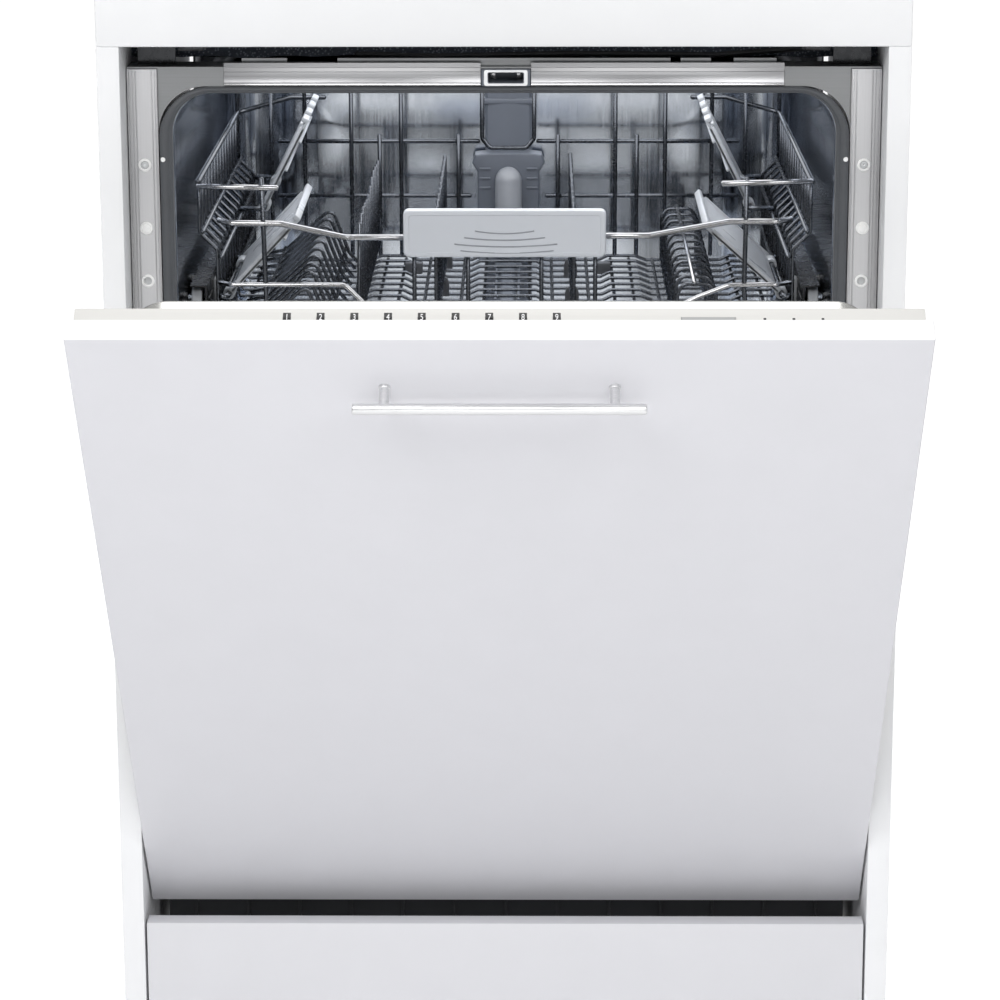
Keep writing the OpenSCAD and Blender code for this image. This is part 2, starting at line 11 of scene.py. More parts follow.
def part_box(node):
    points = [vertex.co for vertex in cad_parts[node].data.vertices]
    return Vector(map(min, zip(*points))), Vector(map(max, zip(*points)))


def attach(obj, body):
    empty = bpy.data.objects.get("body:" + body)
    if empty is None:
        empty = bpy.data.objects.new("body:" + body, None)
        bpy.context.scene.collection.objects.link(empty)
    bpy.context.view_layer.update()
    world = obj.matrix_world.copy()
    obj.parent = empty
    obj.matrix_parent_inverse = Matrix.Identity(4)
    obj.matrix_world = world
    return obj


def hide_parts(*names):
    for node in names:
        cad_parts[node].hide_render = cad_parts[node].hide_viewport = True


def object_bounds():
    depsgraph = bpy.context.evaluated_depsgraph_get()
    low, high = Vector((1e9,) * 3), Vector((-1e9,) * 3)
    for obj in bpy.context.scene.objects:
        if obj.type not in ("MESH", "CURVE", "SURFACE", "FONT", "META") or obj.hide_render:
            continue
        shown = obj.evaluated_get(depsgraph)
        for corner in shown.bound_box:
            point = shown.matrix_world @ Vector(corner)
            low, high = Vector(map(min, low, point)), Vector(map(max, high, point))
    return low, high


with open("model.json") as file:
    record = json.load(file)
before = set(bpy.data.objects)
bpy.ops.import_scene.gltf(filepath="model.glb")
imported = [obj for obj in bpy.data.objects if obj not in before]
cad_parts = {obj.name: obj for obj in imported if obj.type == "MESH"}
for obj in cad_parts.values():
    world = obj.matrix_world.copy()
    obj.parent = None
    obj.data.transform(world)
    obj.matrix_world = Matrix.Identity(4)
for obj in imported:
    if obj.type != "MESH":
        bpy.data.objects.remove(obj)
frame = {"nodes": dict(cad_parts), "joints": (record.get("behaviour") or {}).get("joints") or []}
CAD_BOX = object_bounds()

# Everything below is worked out in millimetres, and make() turns it into metres.
MM = 0.001
X, Y, Z = 0, 1, 2
SIDES = (("left", -1), ("right", 1))
ENDS = ("front", "rear")


# ---- places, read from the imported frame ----

def span(points):
    low = [min(p[i] for p in points) / MM for i in range(3)]
    high = [max(p[i] for p in points) / MM for i in range(3)]
    return SimpleNamespace(x0=low[X], x1=high[X], y0=low[Y], y1=high[Y], z0=low[Z], z1=high[Z],
                           cx=(low[X] + high[X]) / 2, cy=(low[Y] + high[Y]) / 2,
                           cz=(low[Z] + high[Z]) / 2)


def place(node):
    """A CAD node's box at rest."""
    return span(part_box(node))


def joint(name):
    return next(j for j in frame["joints"] if j["name"] == name)


def pivot(name):
    """Where a joint sits."""
    return Vector(joint(name)["pos_m"]) / MM


def door_swing():
    """The turn that takes the door from shut to where it rests."""
    door = joint("door_hinge")
    hinge = Vector(door["pos_m"])
    turn = Matrix.Rotation(math.radians(-door["range_deg"][0]), 4, "X")
    return Matrix.Translation(hinge) @ turn @ Matrix.Translation(-hinge)


OPEN_DOOR = door_swing()
SHUT_DOOR = OPEN_DOOR.inverted()


def door_place(node):
    """The box that a node of the door has with the door shut."""
    return span([SHUT_DOOR @ v.co for v in frame["nodes"][node].data.vertices])


# ---- mesh building ----

def rounded(points, bend, steps=5):
    """The polyline with its inner corners turned into arcs of radius bend."""
    pts = [Vector(p) for p in points]
    out = [pts[0]]
    for a, b, c in zip(pts, pts[1:], pts[2:]):
        u, v = a - b, c - b
        room = 0.48 * min(u.length, v.length)
        u.normalize()
        v.normalize()
        half = u.angle(v) / 2
        if half > math.pi / 2 - 0.03:
            out.append(b)
            continue
        cut = min(bend / math.tan(half), room)
        centre = b + (u + v).normalized() * (cut / math.cos(half))
        first, last = b + u * cut - centre, b + v * cut - centre
        out += [centre + first.slerp(last, i / steps) * first.length for i in range(steps + 1)]
    out.append(pts[-1])
    return out


def soft_rect(x0, z0, x1, z1, r, steps=6):
    """A rectangle with round corners, counter-clockwise, as (x, z) pairs."""
    out = []
    corners = ((x1 - r, z0 + r, -90), (x1 - r, z1 - r, 0), (x0 + r, z1 - r, 90), (x0 + r, z0 + r, 180))
    for cx, cz, start in corners:
        for i in range(steps + 1):
            a = math.radians(start + 90 * i / steps)
            out.append((cx + r * math.cos(a), cz + r * math.sin(a)))
    return out


class Shape:
    """A mesh that grows piece by piece."""

    def __init__(self):
        self.verts, self.faces = [], []

    def add(self, verts, faces, matrix=None):
        n = len(self.verts)
        self.verts += [matrix @ Vector(v) for v in verts] if matrix else [Vector(v) for v in verts]
        self.faces += [tuple(n + i for i in f) for f in faces]
        return self

    def add_bmesh(self, bm, matrix=None):
        bm.verts.index_update()
        self.add([v.co.copy() for v in bm.verts], [[v.index for v in f.verts] for f in bm.faces],
                 matrix)
        bm.free()
        return self

    def loft(self, rings, closed=True, caps=True, loop=False):
        """Skins rings of equal length; closed joins each ring's ends, loop joins last to first."""
        n, m = len(rings[0]), len(rings)
        faces = []
        for k in range(m if loop else m - 1):
            for i in range(n if closed else n - 1):
                j, q = (i + 1) % n, (k + 1) % m
                faces.append((k * n + i, k * n + j, q * n + j, q * n + i))
        if caps and not loop:
            faces += [tuple(range(n))[::-1], tuple(range((m - 1) * n, m * n))]
        return self.add([p for r in rings for p in r], faces)

    def tube(self, points, r, bend=6.0, sides=10, steps=5):
        """A round wire along points, with rounded corners and softened ends."""
        pts = rounded(points, bend, steps) if bend else [Vector(p) for p in points]
        pts = [p for i, p in enumerate(pts) if i == 0 or (p - pts[i - 1]).length > 1e-4]
        tangents = []
        for i in range(len(pts)):
            a, b = pts[max(i - 1, 0)], pts[min(i + 1, len(pts) - 1)]
            tangents.append((b - a).normalized())
        side = tangents[0].orthogonal().normalized()
        rings = []
        for i, (p, t) in enumerate(zip(pts, tangents)):
            side = (side - t * side.dot(t)).normalized()
            up = t.cross(side)
            ends = [(0, 1.0)]
            if i == 0:
                ends = [(0.0, 0.55), (0.45 * r, 1.0)]
            elif i == len(pts) - 1:
                ends = [(-0.45 * r, 1.0), (0.0, 0.55)]
            for shift, k in ends:
                rings.append([p + t * shift + (side * math.cos(a) + up * math.sin(a)) * r * k
                              for a in (2 * math.pi * j / sides for j in range(sides))])
        return self.loft(rings)

    def block(self, a, b, bevel=0.6, segments=2, matrix=None):
        """A box from its lowest to its highest corner, with rounded edges."""
        bm = bmesh.new()
        bmesh.ops.create_cube(bm, size=1)
        size, mid = Vector(b) - Vector(a), (Vector(a) + Vector(b)) / 2
        for v in bm.verts:
            v.co = Vector(v.co[i] * size[i] for i in range(3)) + mid
        bevel = min(bevel, 0.45 * min(size))
        if bevel > 0:
            bmesh.ops.bevel(bm, geom=list(bm.edges), offset=bevel, segments=segments, profile=0.5,
                            affect="EDGES")
        return self.add_bmesh(bm, matrix)

    def fill(self, b, bevel, segments=2):
        """A block that takes up a whole place."""
        return self.block((b.x0, b.y0, b.z0), (b.x1, b.y1, b.z1), bevel, segments)

    def spokes(self, count, centre, axis, low, high, bevel=0.3, segments=2, start=0.0):
        """Blocks set evenly round an axis through centre."""
        for i in range(count):
            turn = Matrix.Rotation(start + 2 * math.pi * i / count, 4, axis)
            self.block(low, high, bevel, segments, Matrix.Translation(centre) @ turn)
        return self

    def prism(self, outline, axis, c0, c1, bevel=0.0, segments=2):
        """An outline of pairs extruded along an axis from c0 to c1, its end edges bevelled."""
        def at(p, c):
            u, v = p
            return {X: (c, u, v), Y: (u, c, v), Z: (u, v, c)}[axis]
        bm = bmesh.new()
        rings = [[bm.verts.new(at(p, c)) for p in outline] for c in (c0, c1)]
        for i in range(len(outline)):
            j = (i + 1) % len(outline)
            bm.faces.new((rings[0][i], rings[0][j], rings[1][j], rings[1][i]))
        ends = [bm.faces.new(rings[0][::-1]), bm.faces.new(rings[1])]
        bmesh.ops.recalc_face_normals(bm, faces=list(bm.faces))
        if bevel:
            edges = [e for f in ends for e in f.edges]
            bmesh.ops.bevel(bm, geom=edges, offset=bevel, segments=segments, profile=0.5,
                            affect="EDGES", clamp_overlap=True)
        return self.add_bmesh(bm)

    def lathe(self, profile, centre, axis=Z, segs=32, loop=False):
        """A profile of (radius, height) pairs turned about an axis through centre."""
        rings = []
        for r, h in profile:
            ring = []
            for i in range(segs):
                a = 2 * math.pi * i / segs
                u, v = max(r, 0.01) * math.cos(a), max(r, 0.01) * math.sin(a)
                p = {X: (h, u, v), Y: (u, h, v), Z: (u, v, h)}[axis]
                ring.append(Vector(p) + Vector(centre))
            rings.append(ring)
        return self.loft(rings, loop=loop)

    def mirrored(self):
        """Adds a copy on the other side of the middle plane."""
        n = len(self.verts)
        self.verts += [Vector((-v.x, v.y, v.z)) for v in self.verts]
        self.faces += [tuple(n + i for i in f)[::-1] for f in self.faces]
        return self


def smooth(ob, angle=35):
    ob.data.polygons.foreach_set("use_smooth", [True] * len(ob.data.polygons))
    ob.data.set_sharp_from_angle(angle=math.radians(angle))


def make(name, shape, materials, body, replaces=(), angle=35, on_door=False):
    """Turns a shape into a piece that rides on a body; on_door swings it open with the door."""
    mesh = bpy.data.meshes.new(name)
    mesh.from_pydata([v * MM for v in shape.verts], [], shape.faces)
    materials = materials if isinstance(materials, (list, tuple)) else [materials]
    for m in materials:
        mesh.materials.append(m)
    bm = bmesh.new()
    bm.from_mesh(mesh)
    bmesh.ops.recalc_face_normals(bm, faces=list(bm.faces))
    bm.to_mesh(mesh)
    bm.free()
    if on_door:
        mesh.transform(OPEN_DOOR)
    ob = bpy.data.objects.new(name, mesh)
    bpy.context.scene.collection.objects.link(ob)
    smooth(ob, angle)
    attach(ob, body)
    if replaces:
        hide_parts(*([replaces] if isinstance(replaces, str) else replaces))
    return ob


def carve(ob, shape, on_door=False):
    """Cuts a shape out of a finished piece."""
    cutter = make(ob.name + "_cut", shape, [], "cabinet", on_door=on_door)
    mod = ob.modifiers.new("carve", "BOOLEAN")
    mod.object = cutter
    mod.solver = "EXACT"
    bpy.context.view_layer.update()
    done = bpy.data.meshes.new_from_object(ob.evaluated_get(bpy.context.evaluated_depsgraph_get()))
    ob.modifiers.remove(mod)
    ob.data = done
    bpy.data.objects.remove(cutter)
    smooth(ob)


def finish_node(node, material, bevel=0.0):
    """Keeps a CAD node and gives it its material, with softened edges where bevel is set."""
    ob = frame["nodes"][node]
    ob.data.materials.clear()
    ob.data.materials.append(material)
    if bevel:
        mod = ob.modifiers.new("edges", "BEVEL")
        mod.width = bevel * MM
        mod.segments = 2
        mod.limit_method = "ANGLE"
        mod.angle_limit = math.radians(40)


# ---- materials ----

def graph(name):
    mat = bpy.data.materials.new(name)
    mat.use_nodes = True
    tree = mat.node_tree
    return mat, tree, tree.nodes["Principled BSDF"]


def new(tree, kind, **values):
    node = tree.nodes.new("ShaderNode" + kind)
    for key, value in values.items():
        if key in node.inputs:
            node.inputs[key].default_value = value
        else:
            setattr(node, key, value)
    return node


def coords(tree, scale=(1, 1, 1)):
    """Object coordinates, scaled per axis, so that a grain can be drawn out along one."""
    at = new(tree, "TexCoord")
    mapping = new(tree, "Mapping")
    mapping.inputs["Scale"].default_value = scale
    tree.links.new(at.outputs["Object"], mapping.inputs["Vector"])
    return mapping.outputs["Vector"]


def noise(tree, vector, scale, detail=4.0, rough=0.55):
    node = new(tree, "TexNoise", Scale=scale, Detail=detail, Roughness=rough)
    tree.links.new(vector, node.inputs["Vector"])
    return node.outputs["Fac"]


def ramp(tree, value, low, high, a=0.3, b=0.7):
    """Turns a 0 to 1 value into low to high, which are numbers or colours."""
    node = new(tree, "ValToRGB")
    grey = lambda c: (c, c, c, 1) if isinstance(c, (int, float)) else (*c, 1)
    node.color_ramp.elements[0].position = a
    node.color_ramp.elements[1].position = b
    node.color_ramp.elements[0].color = grey(low)
    node.color_ramp.elements[1].color = grey(high)
    tree.links.new(value, node.inputs["Fac"])
    return node.outputs["Color"]


def bump(tree, shader, value, strength, distance, under=None):
    node = new(tree, "Bump", Strength=strength, Distance=distance * MM)
    tree.links.new(value, node.inputs["Height"])
    if under:
        tree.links.new(under, node.inputs["Normal"])
    tree.links.new(node.outputs["Normal"], shader.inputs["Normal"])
    return node.outputs["Normal"]


def shade(color, k):
    return tuple(min(1.0, c * k) for c in color)


def edge_wear(tree, color_socket, worn):
    """Lightens the sharpest edges a little, as handling does."""
    geo = new(tree, "NewGeometry")
    edges = ramp(tree, geo.outputs["Pointiness"], 0.0, 0.35, 0.52, 0.60)
    mix = new(tree, "Mix", data_type="RGBA")
    tree.links.new(edges, mix.inputs["Factor"])
    tree.links.new(color_socket, mix.inputs["A"])
    mix.inputs["B"].default_value = (*worn, 1)
    return mix.outputs["Result"]


def metal(name, color, rough, axis=None, grain=900.0, spread=0.10, wave=0.0, tint=0.08):
    """Sheet or rod metal: streaks along axis, roughness that varies, and slow waves if asked."""
    mat, tree, out = graph(name)
    stretch = [1.0, 1.0, 1.0]
    if axis is not None:
        stretch[axis] = 0.012
    at = coords(tree, stretch)
    fine = noise(tree, at, grain, 3.0)
    cloud = noise(tree, coords(tree), 6.0, 3.0)
    tree.links.new(ramp(tree, fine, shade(color, 1 - tint), shade(color, 1 + tint / 2)),
                   out.inputs["Base Color"])
    blend = new(tree, "Math", operation="ADD")
    tree.links.new(ramp(tree, fine, rough - spread / 2, rough + spread / 2), blend.inputs[0])
    tree.links.new(ramp(tree, cloud, -spread / 3, spread / 3), blend.inputs[1])
    tree.links.new(blend.outputs[0], out.inputs["Roughness"])
    out.inputs["Metallic"].default_value = 1.0
    under = bump(tree, out, fine, 0.14, 0.02)
    if wave:
        bump(tree, out, noise(tree, coords(tree), 9.0, 1.0), 0.6, wave, under)
    return mat


def plastic(name, color, rough, texture, pitch, mottle, coat=0.0, sheen=0.0, clear=0.0):
    """Moulded plastic, lacquer or rubber: fine skin, faint mottling, edges rubbed lighter."""
    mat, tree, out = graph(name)
    at = coords(tree)
    cloud = noise(tree, at, 22.0, 4.0)
    fine = noise(tree, at, pitch, 2.0)
    tone = ramp(tree, cloud, shade(color, 1 - mottle), shade(color, 1 + mottle))
    tree.links.new(edge_wear(tree, tone, shade(color, 1.12)), out.inputs["Base Color"])
    tree.links.new(ramp(tree, cloud, rough * 0.85, rough * 1.2), out.inputs["Roughness"])
    bump(tree, out, fine, 0.35, texture)
    out.inputs["Coat Weight"].default_value = coat
    out.inputs["Coat Roughness"].default_value = 0.12
    out.inputs["Sheen Weight"].default_value = sheen
    out.inputs["Transmission Weight"].default_value = clear
    return mat


def bitumen(name):
    """Dark felt with pale specks."""
    mat, tree, out = graph(name)
    at = coords(tree)
    specks = new(tree, "TexVoronoi", Scale=420.0, Randomness=1.0)
    tree.links.new(at, specks.inputs["Vector"])
    pale, dark = (0.30, 0.33, 0.38), (0.075, 0.088, 0.112)
    spots = ramp(tree, specks.outputs["Distance"], pale, dark, 0.16, 0.42)
    tree.links.new(spots, out.inputs["Base Color"])
    tree.links.new(ramp(tree, noise(tree, at, 300.0), 0.6, 0.95), out.inputs["Roughness"])
    bump(tree, out, noise(tree, at, 260.0, 6.0), 0.9, 0.6)
    return mat


WHITE_BOARD = plastic("white_board", (0.84, 0.845, 0.855), 0.42, 0.02, 1100.0, 0.012, coat=0.05)
PANEL = plastic("panel_front", (0.66, 0.66, 0.69), 0.40, 0.015, 900.0, 0.012, coat=0.08)
PANEL_EDGE = plastic("panel_edge", (0.93, 0.93, 0.94), 0.45, 0.015, 900.0, 0.01)
PLINTH = plastic("plinth_front", (0.68, 0.68, 0.705), 0.42, 0.015, 900.0, 0.012, coat=0.06)
TUB = metal("tub_steel", (0.58, 0.62, 0.69), 0.12, Z, 500.0, 0.08, 0.5)
LINER = metal("liner_steel", (0.78, 0.775, 0.75), 0.22, Z, 600.0, 0.10, 0.1)
STRIP = metal("strip_steel", (0.50, 0.50, 0.51), 0.36, Z, 700.0, 0.07, tint=0.06)
DARK_SHEET = metal("dark_sheet", (0.26, 0.265, 0.27), 0.42, X, 900.0, 0.12)
TRIM = metal("trim_aluminium", (0.48, 0.48, 0.49), 0.32, X, 700.0, 0.06, tint=0.06)
HOLE_GREY = plastic("hole_plastic", (0.55, 0.56, 0.57), 0.3, 0.03, 900.0, 0.02)
# a near-white copy of the trim metal: painted highlight standing for the reflection along the trim's lower
# lip
TRIM_PAINTED_HIGHLIGHT = metal("trim_painted_highlight", (0.94, 0.94, 0.945), 0.15, X, 700.0, 0.03)
BRACKET = metal("bracket_steel", (0.035, 0.036, 0.038), 0.26, None, 160.0, 0.16, tint=0.2)
ZINC = metal("zinc", (0.70, 0.71, 0.72), 0.33, None, 160.0, 0.16, tint=0.14)
# a lighter copy of the dark rack wire: on the upper rack's front rails and hoop rail it is painted light
# from the front; on the latch striker and hook loop it is bright steel
PAINTED_LIT_WIRE_AND_STEEL = metal("painted_lit_wire_and_bright_steel", (0.42, 0.42, 0.43), 0.20, None, 500.0, 0.08)
WIRE = metal("rack_wire", (0.10, 0.107, 0.12), 0.24, None, 700.0, 0.08)
HANDLE = metal("handle_steel", (0.80, 0.80, 0.805), 0.34, X, 1600.0, 0.12, tint=0.12)
BLACK_METAL = metal("black_metal", (0.06, 0.06, 0.065), 0.4, None, 500.0)
RUBBER = plastic("gasket_rubber", (0.075, 0.08, 0.088), 0.5, 0.10, 700.0, 0.1, sheen=0.1)
DARK_PLASTIC = plastic("dark_plastic", (0.035, 0.037, 0.04), 0.38, 0.10, 1200.0, 0.08)
BASE_PLASTIC = plastic("base_plastic", (0.06, 0.063, 0.068), 0.48, 0.14, 900.0, 0.10)
WHITE_PLASTIC = plastic("white_plastic", (0.93, 0.93, 0.92), 0.35, 0.05, 1300.0, 0.02)
STRIP_PLASTIC = plastic("strip_plastic", (0.70, 0.69, 0.665), 0.33, 0.03, 1300.0, 0.012, coat=0.1)
DUCT = plastic("duct_plastic", (0.13, 0.145, 0.175), 0.36, 0.08, 1100.0, 0.06)
DOME = plastic("dome_plastic", (0.30, 0.315, 0.345), 0.34, 0.08, 1100.0, 0.05)
RACK_PLASTIC = plastic("rack_plastic", (0.44, 0.46, 0.49), 0.3, 0.06, 1100.0, 0.04, clear=0.12)
HANDLE_PLASTIC = plastic("handle_plastic", (0.62, 0.645, 0.69), 0.33, 0.05, 1300.0, 0.02, coat=0.1)
GREY_PLASTIC = plastic("pump_plastic", (0.30, 0.31, 0.325), 0.42, 0.10, 1100.0, 0.06)
CLIP = plastic("clip_plastic", (0.05, 0.053, 0.06), 0.4, 0.08, 1100.0, 0.06)
WINDOW = plastic("window_black", (0.008, 0.008, 0.009), 0.14, 0.01, 600.0, 0.02, coat=0.4)
DIGIT = plastic("numeral_white", (0.9, 0.9, 0.9), 0.4, 0.01, 900.0, 0.01)
GREY_PRINT = plastic("key_grey", (0.40, 0.40, 0.40), 0.36, 0.03, 1100.0, 0.02)
BITUMEN = bitumen("bitumen")

# ---- cabinet niche ----

def niche():
    """The white boards round the machine, the plinth and the clips behind it."""
    for node, bevel in (("worktop", 1.2), ("side_panel_left", 0.7), ("side_panel_right", 0.7)):
        s = Shape().fill(place(node), bevel, 3)
        make(node + "_board", s, WHITE_BOARD, "cabinet", node)
    b = place("plinth_panel")
    make("plinth_board", Shape().fill(b, 0.9, 3), PLINTH, "cabinet", "plinth_panel")
    s = Shape()
    for x in (-190, 190):
        s.block((x - 22, b.y1, 40), (x + 22, b.y1 + 3, 74), 0.8)
        s.block((x - 12, b.y1 + 3, 46), (x + 12, b.y1 + 22, 49), 0.5)
        s.block((x - 12, b.y1 + 3, 65), (x + 12, b.y1 + 22, 68), 0.5)
    make("plinth_clips", s, DARK_PLASTIC, "cabinet")


# ---- tub ----

def tub_ring(y, inset, t, r):
    """The tub's inner outline at depth y, drawn in by inset."""
    return [(x, y, z) for x, z in soft_rect(t.x0 + inset, t.z0 + inset, t.x1 - inset, t.z1 - inset,
                                            max(r - inset, 6), 12)]


def tub():
    """A pressed steel shell with a stepped rear wall and a round well in its floor."""
    sheet, corner, back_r, well, dish_r = 2.0, 36.0, 26.0, 92.0, 112.0
    b = place("tub")
    t = SimpleNamespace(x0=b.x0 + sheet, x1=b.x1 - sheet, z0=b.z0 + sheet, z1=b.z1 - sheet)
    back, front = b.y1 - sheet, b.y0
    s = Shape()
    rings = [tub_ring(front, -1.5, t, corner), tub_ring(front + 1.5, 0, t, corner)]
    steps = [front + 8 + (back - back_r - front - 8) * i / 12 for i in range(13)]
    rings += [tub_ring(y, 0, t, corner) for y in steps]
    for i in range(1, 9):
        a = math.pi / 2 * i / 8
        y, inset = back - back_r + back_r * math.sin(a), back_r * (1 - math.cos(a))
        rings.append(tub_ring(y, inset, t, corner))
    # the rear wall steps forward in two soft pressed frames
    for inset, depth in ((46, 0), (52, 1.2), (58, 3.0), (64, 3.6), (150, 3.6)):
        rings.append(tub_ring(back - depth, inset, t, corner + 20))
    drop = {i for i, p in enumerate(rings[2]) if p[Z] < t.z0 + 0.5}
    n, faces = len(rings[0]), []
    for k in range(len(rings) - 1):
        for i in range(n):
            j = (i + 1) % n
            on_floor = k < len(steps) + 1 and i in drop and j in drop
            if not on_floor:
                faces.append((k * n + i, k * n + j, (k + 1) * n + j, (k + 1) * n + i))
    faces.append(tuple(range((len(rings) - 1) * n, len(rings) * n)))
    s.add([p for r in rings for p in r], faces)
    # the floor, with the round hole of the sump and a shallow dish round it
    c = place("sump")

    def circle(r, z):
        angles = (math.radians(7.5 * i) for i in range(48))
        return [Vector((c.cx + r * math.cos(a), c.cy + r * math.sin(a), t.z0 + z)) for a in angles]
    x0, x1, y0, y1 = t.x0 + corner, t.x1 - corner, front + 14, back - back_r
    edge = [Vector((x, y, t.z0)) for x, y in ((x0, y0), (x1, y0), (x1, y1), (x0, y1))]
    lip = circle(dish_r, 0)[::-1]
    s.add(edge + lip, tessellate_polygon([edge, lip]))
    dish = [circle(r, z) for r, z in ((dish_r, 0.0), (108, -0.3), (104, -0.4), (well, -0.4),
                                      (well, -1.8))]
    for upper, lower in zip(dish, dish[1:]):
        s.loft([upper, lower], caps=False)
    s.block((x0, y0 - 0.2, b.z0), (x1, y0 + 2, b.z0 + 10), 0.8)
    ob = make("tub_shell", s, TUB, "cabinet", "tub", 50)
    mod = ob.modifiers.new("sheet", "SOLIDIFY")
    mod.thickness = 1.2 * MM
    mod.offset = 1.0
    tub_fittings(t, front, back)


def tub_fittings(t, front, back):
    """Ledges for the lower rack, roller studs, pressed ribs of the side walls and roof."""
    s = Shape()
    for y0, y1 in ((130, 300), (330, 500)):
        for z in (300, 430):
            s.block((t.x0 - 0.6, y0, z), (t.x0 + 1.4, y1, z + 22), 1.9, 4)
    ledge = place("wheel_front_left").z0 - 0.3
    outline = [(t.x0 - 0.5, ledge - 8), (t.x0 + 30, ledge - 8), (t.x0 + 32, ledge - 6.5),
               (t.x0 + 32, ledge - 1), (t.x0 + 31, ledge), (t.x0 - 0.5, ledge)]
    s.prism(outline, Y, front + 29, back - 24, 1.0)
    s.mirrored()
    for x in (-150, 150):
        s.block((x - 26, 150, t.z1 - 1.4), (x + 26, 470, t.z1 + 0.6), 1.9, 4)
    make("tub_ribs", s, TUB, "cabinet")
    s = Shape()
    for side, k in SIDES:
        for end in ENDS:
            r = place(f"roller_{end}_{side}")
            wall, inner, centre = k * (t.x1 - 0.2), k * (abs(r.cx) - 6.4), (0, r.cy, r.cz)
            s.lathe([(4, inner), (4, wall - k * 3), (8, wall - k * 3), (9, wall)], centre, X, 24)
            s.lathe([(0, inner - k * 1.2), (4.5, inner - k * 1.0), (5.6, inner),
                     (4, inner + k * 0.2)], centre, X, 24)
    make("roller_studs", s, BRACKET, "cabinet")


# ---- front frame ----

def frame_front():
    """The beaded strips beside the opening, the sheet over it and the three holes each side."""
    f, caps = place("frame_strips"), place("hole_caps")
    finish_node("frame_strips", STRIP, 0.35)
    s = Shape()
    face = 40.0
    for x, wide in ((276.6, 1.6), (279.4, 0.9), (292.2, 0.9), (294.6, 0.9), (297.2, 1.3)):
        s.block((x - wide / 2, face - 0.55, 231), (x + wide / 2, face + 0.3, f.z1 - 1), 0.4, 2)
    s.mirrored()
    make("strip_beads", s, STRIP, "cabinet")
    finish_node("top_crosspiece", DARK_SHEET, 0.3)
    s = Shape()
    x, high, low = caps.x1 - 4.7, caps.z1 - 4.7, caps.z0 + 4.7
    ring = [(3.2, 39.9), (3.35, 39.2), (3.9, 38.95), (4.7, 39.1), (5.2, 39.6), (5.3, 40.2),
            (3.6, 43.8), (3.2, 43.8)]
    for z in (high, low):
        s.lathe(ring, (x, 0, z), Y, 36, loop=True)
    s.lathe([(0, 39.0), (2.6, 38.95), (3.3, 39.15), (3.6, 39.55), (4.1, 39.0), (5.0, 39.2),
             (5.3, 39.7), (5.3, 40.2), (3.6, 43.8), (0, 43.8)], (x, 0, high - 50.9), Y, 36)
    s.mirrored()
    make("hole_collars", s, WHITE_PLASTIC, "cabinet", "hole_caps")
    screws(x, high, low)


def screws(x, high, low):
    """Screws in the upper holes and under the worktop brackets, and plugs in the lower holes."""
    top = place("worktop_brackets").z1 - 2.0
    head = [(0, 39.55), (1.6, 39.6), (2.6, 39.95), (3.0, 40.6), (3.0, 41.4), (2.0, 41.5),
            (2.0, 60), (0, 61)]
    hung = [(0, top - 2.6), (2.6, top - 2.4), (4.0, top - 1.3), (4.4, top - 0.1), (2, top),
            (2, top + 9), (0, top + 10)]
    collar = [(1.1, 39.35), (2.4, 39.45), (3.0, 39.9), (3.1, 40.6), (1.1, 40.6)]
    plug = [(0, 42.8), (3.15, 42.8), (3.15, 43.4), (0, 43.4)]
    s, filling = Shape(), Shape()
    for k in (-1, 1):
        s.lathe(head, (k * x, 0, high), Y, 28)
        for px, py in ((277, 36), (252, 50)):
            s.lathe(hung, (k * px, py, 0), Z, 28)
        filling.lathe(collar, (k * x, 0, high), Y, 28, loop=True)
        filling.lathe(plug, (k * x, 0, low), Y, 28)
    make("fixing_screws", s, ZINC, "cabinet", "frame_screws")
    make("hole_fillings", filling, HOLE_GREY, "cabinet")


def top_trim():
    """The long aluminium strips over the opening, with a rolled lower lip, an upper step and a painted
    highlight band along the lip's front.
    """
    b = place("top_trim")
    lip = [(b.y0 + 0.2, b.z0 + 1.2), (b.y0 + 1.2, b.z0), (b.y1, b.z0), (b.y1, 799), (42, 799),
           (42, b.z1), (40.4, b.z1), (40.2, b.z1 - 3.6), (40.9, b.z1 - 4.0), (40.9, 797),
           (40.3, 796.6), (40.2, 790.2), (39.7, 789), (b.y0 + 0.2, 787.6)]
    s = Shape()
    s.prism(lip, X, b.x0, -18.4, 0.25)
    s.prism(lip, X, 21.4, b.x1, 0.25)
    make("trim_strips", s, TRIM, "cabinet", "top_trim", 25)
    # a thin near-white band over the lower front face of the lip: painted highlight standing for its
    # reflection
    s = Shape()
    band = [(b.y0, b.z0 + 1.4), (b.y0 + 0.3, b.z0 + 1.4), (b.y0 + 0.3, 787.4), (b.y0, 787.4)]
    s.prism(band, X, b.x0 + 0.2, -18.6, 0.1)
    s.prism(band, X, 21.6, b.x1 - 0.2, 0.1)
    make("trim_painted_highlight_band", s, TRIM_PAINTED_HIGHLIGHT, "cabinet", angle=25)


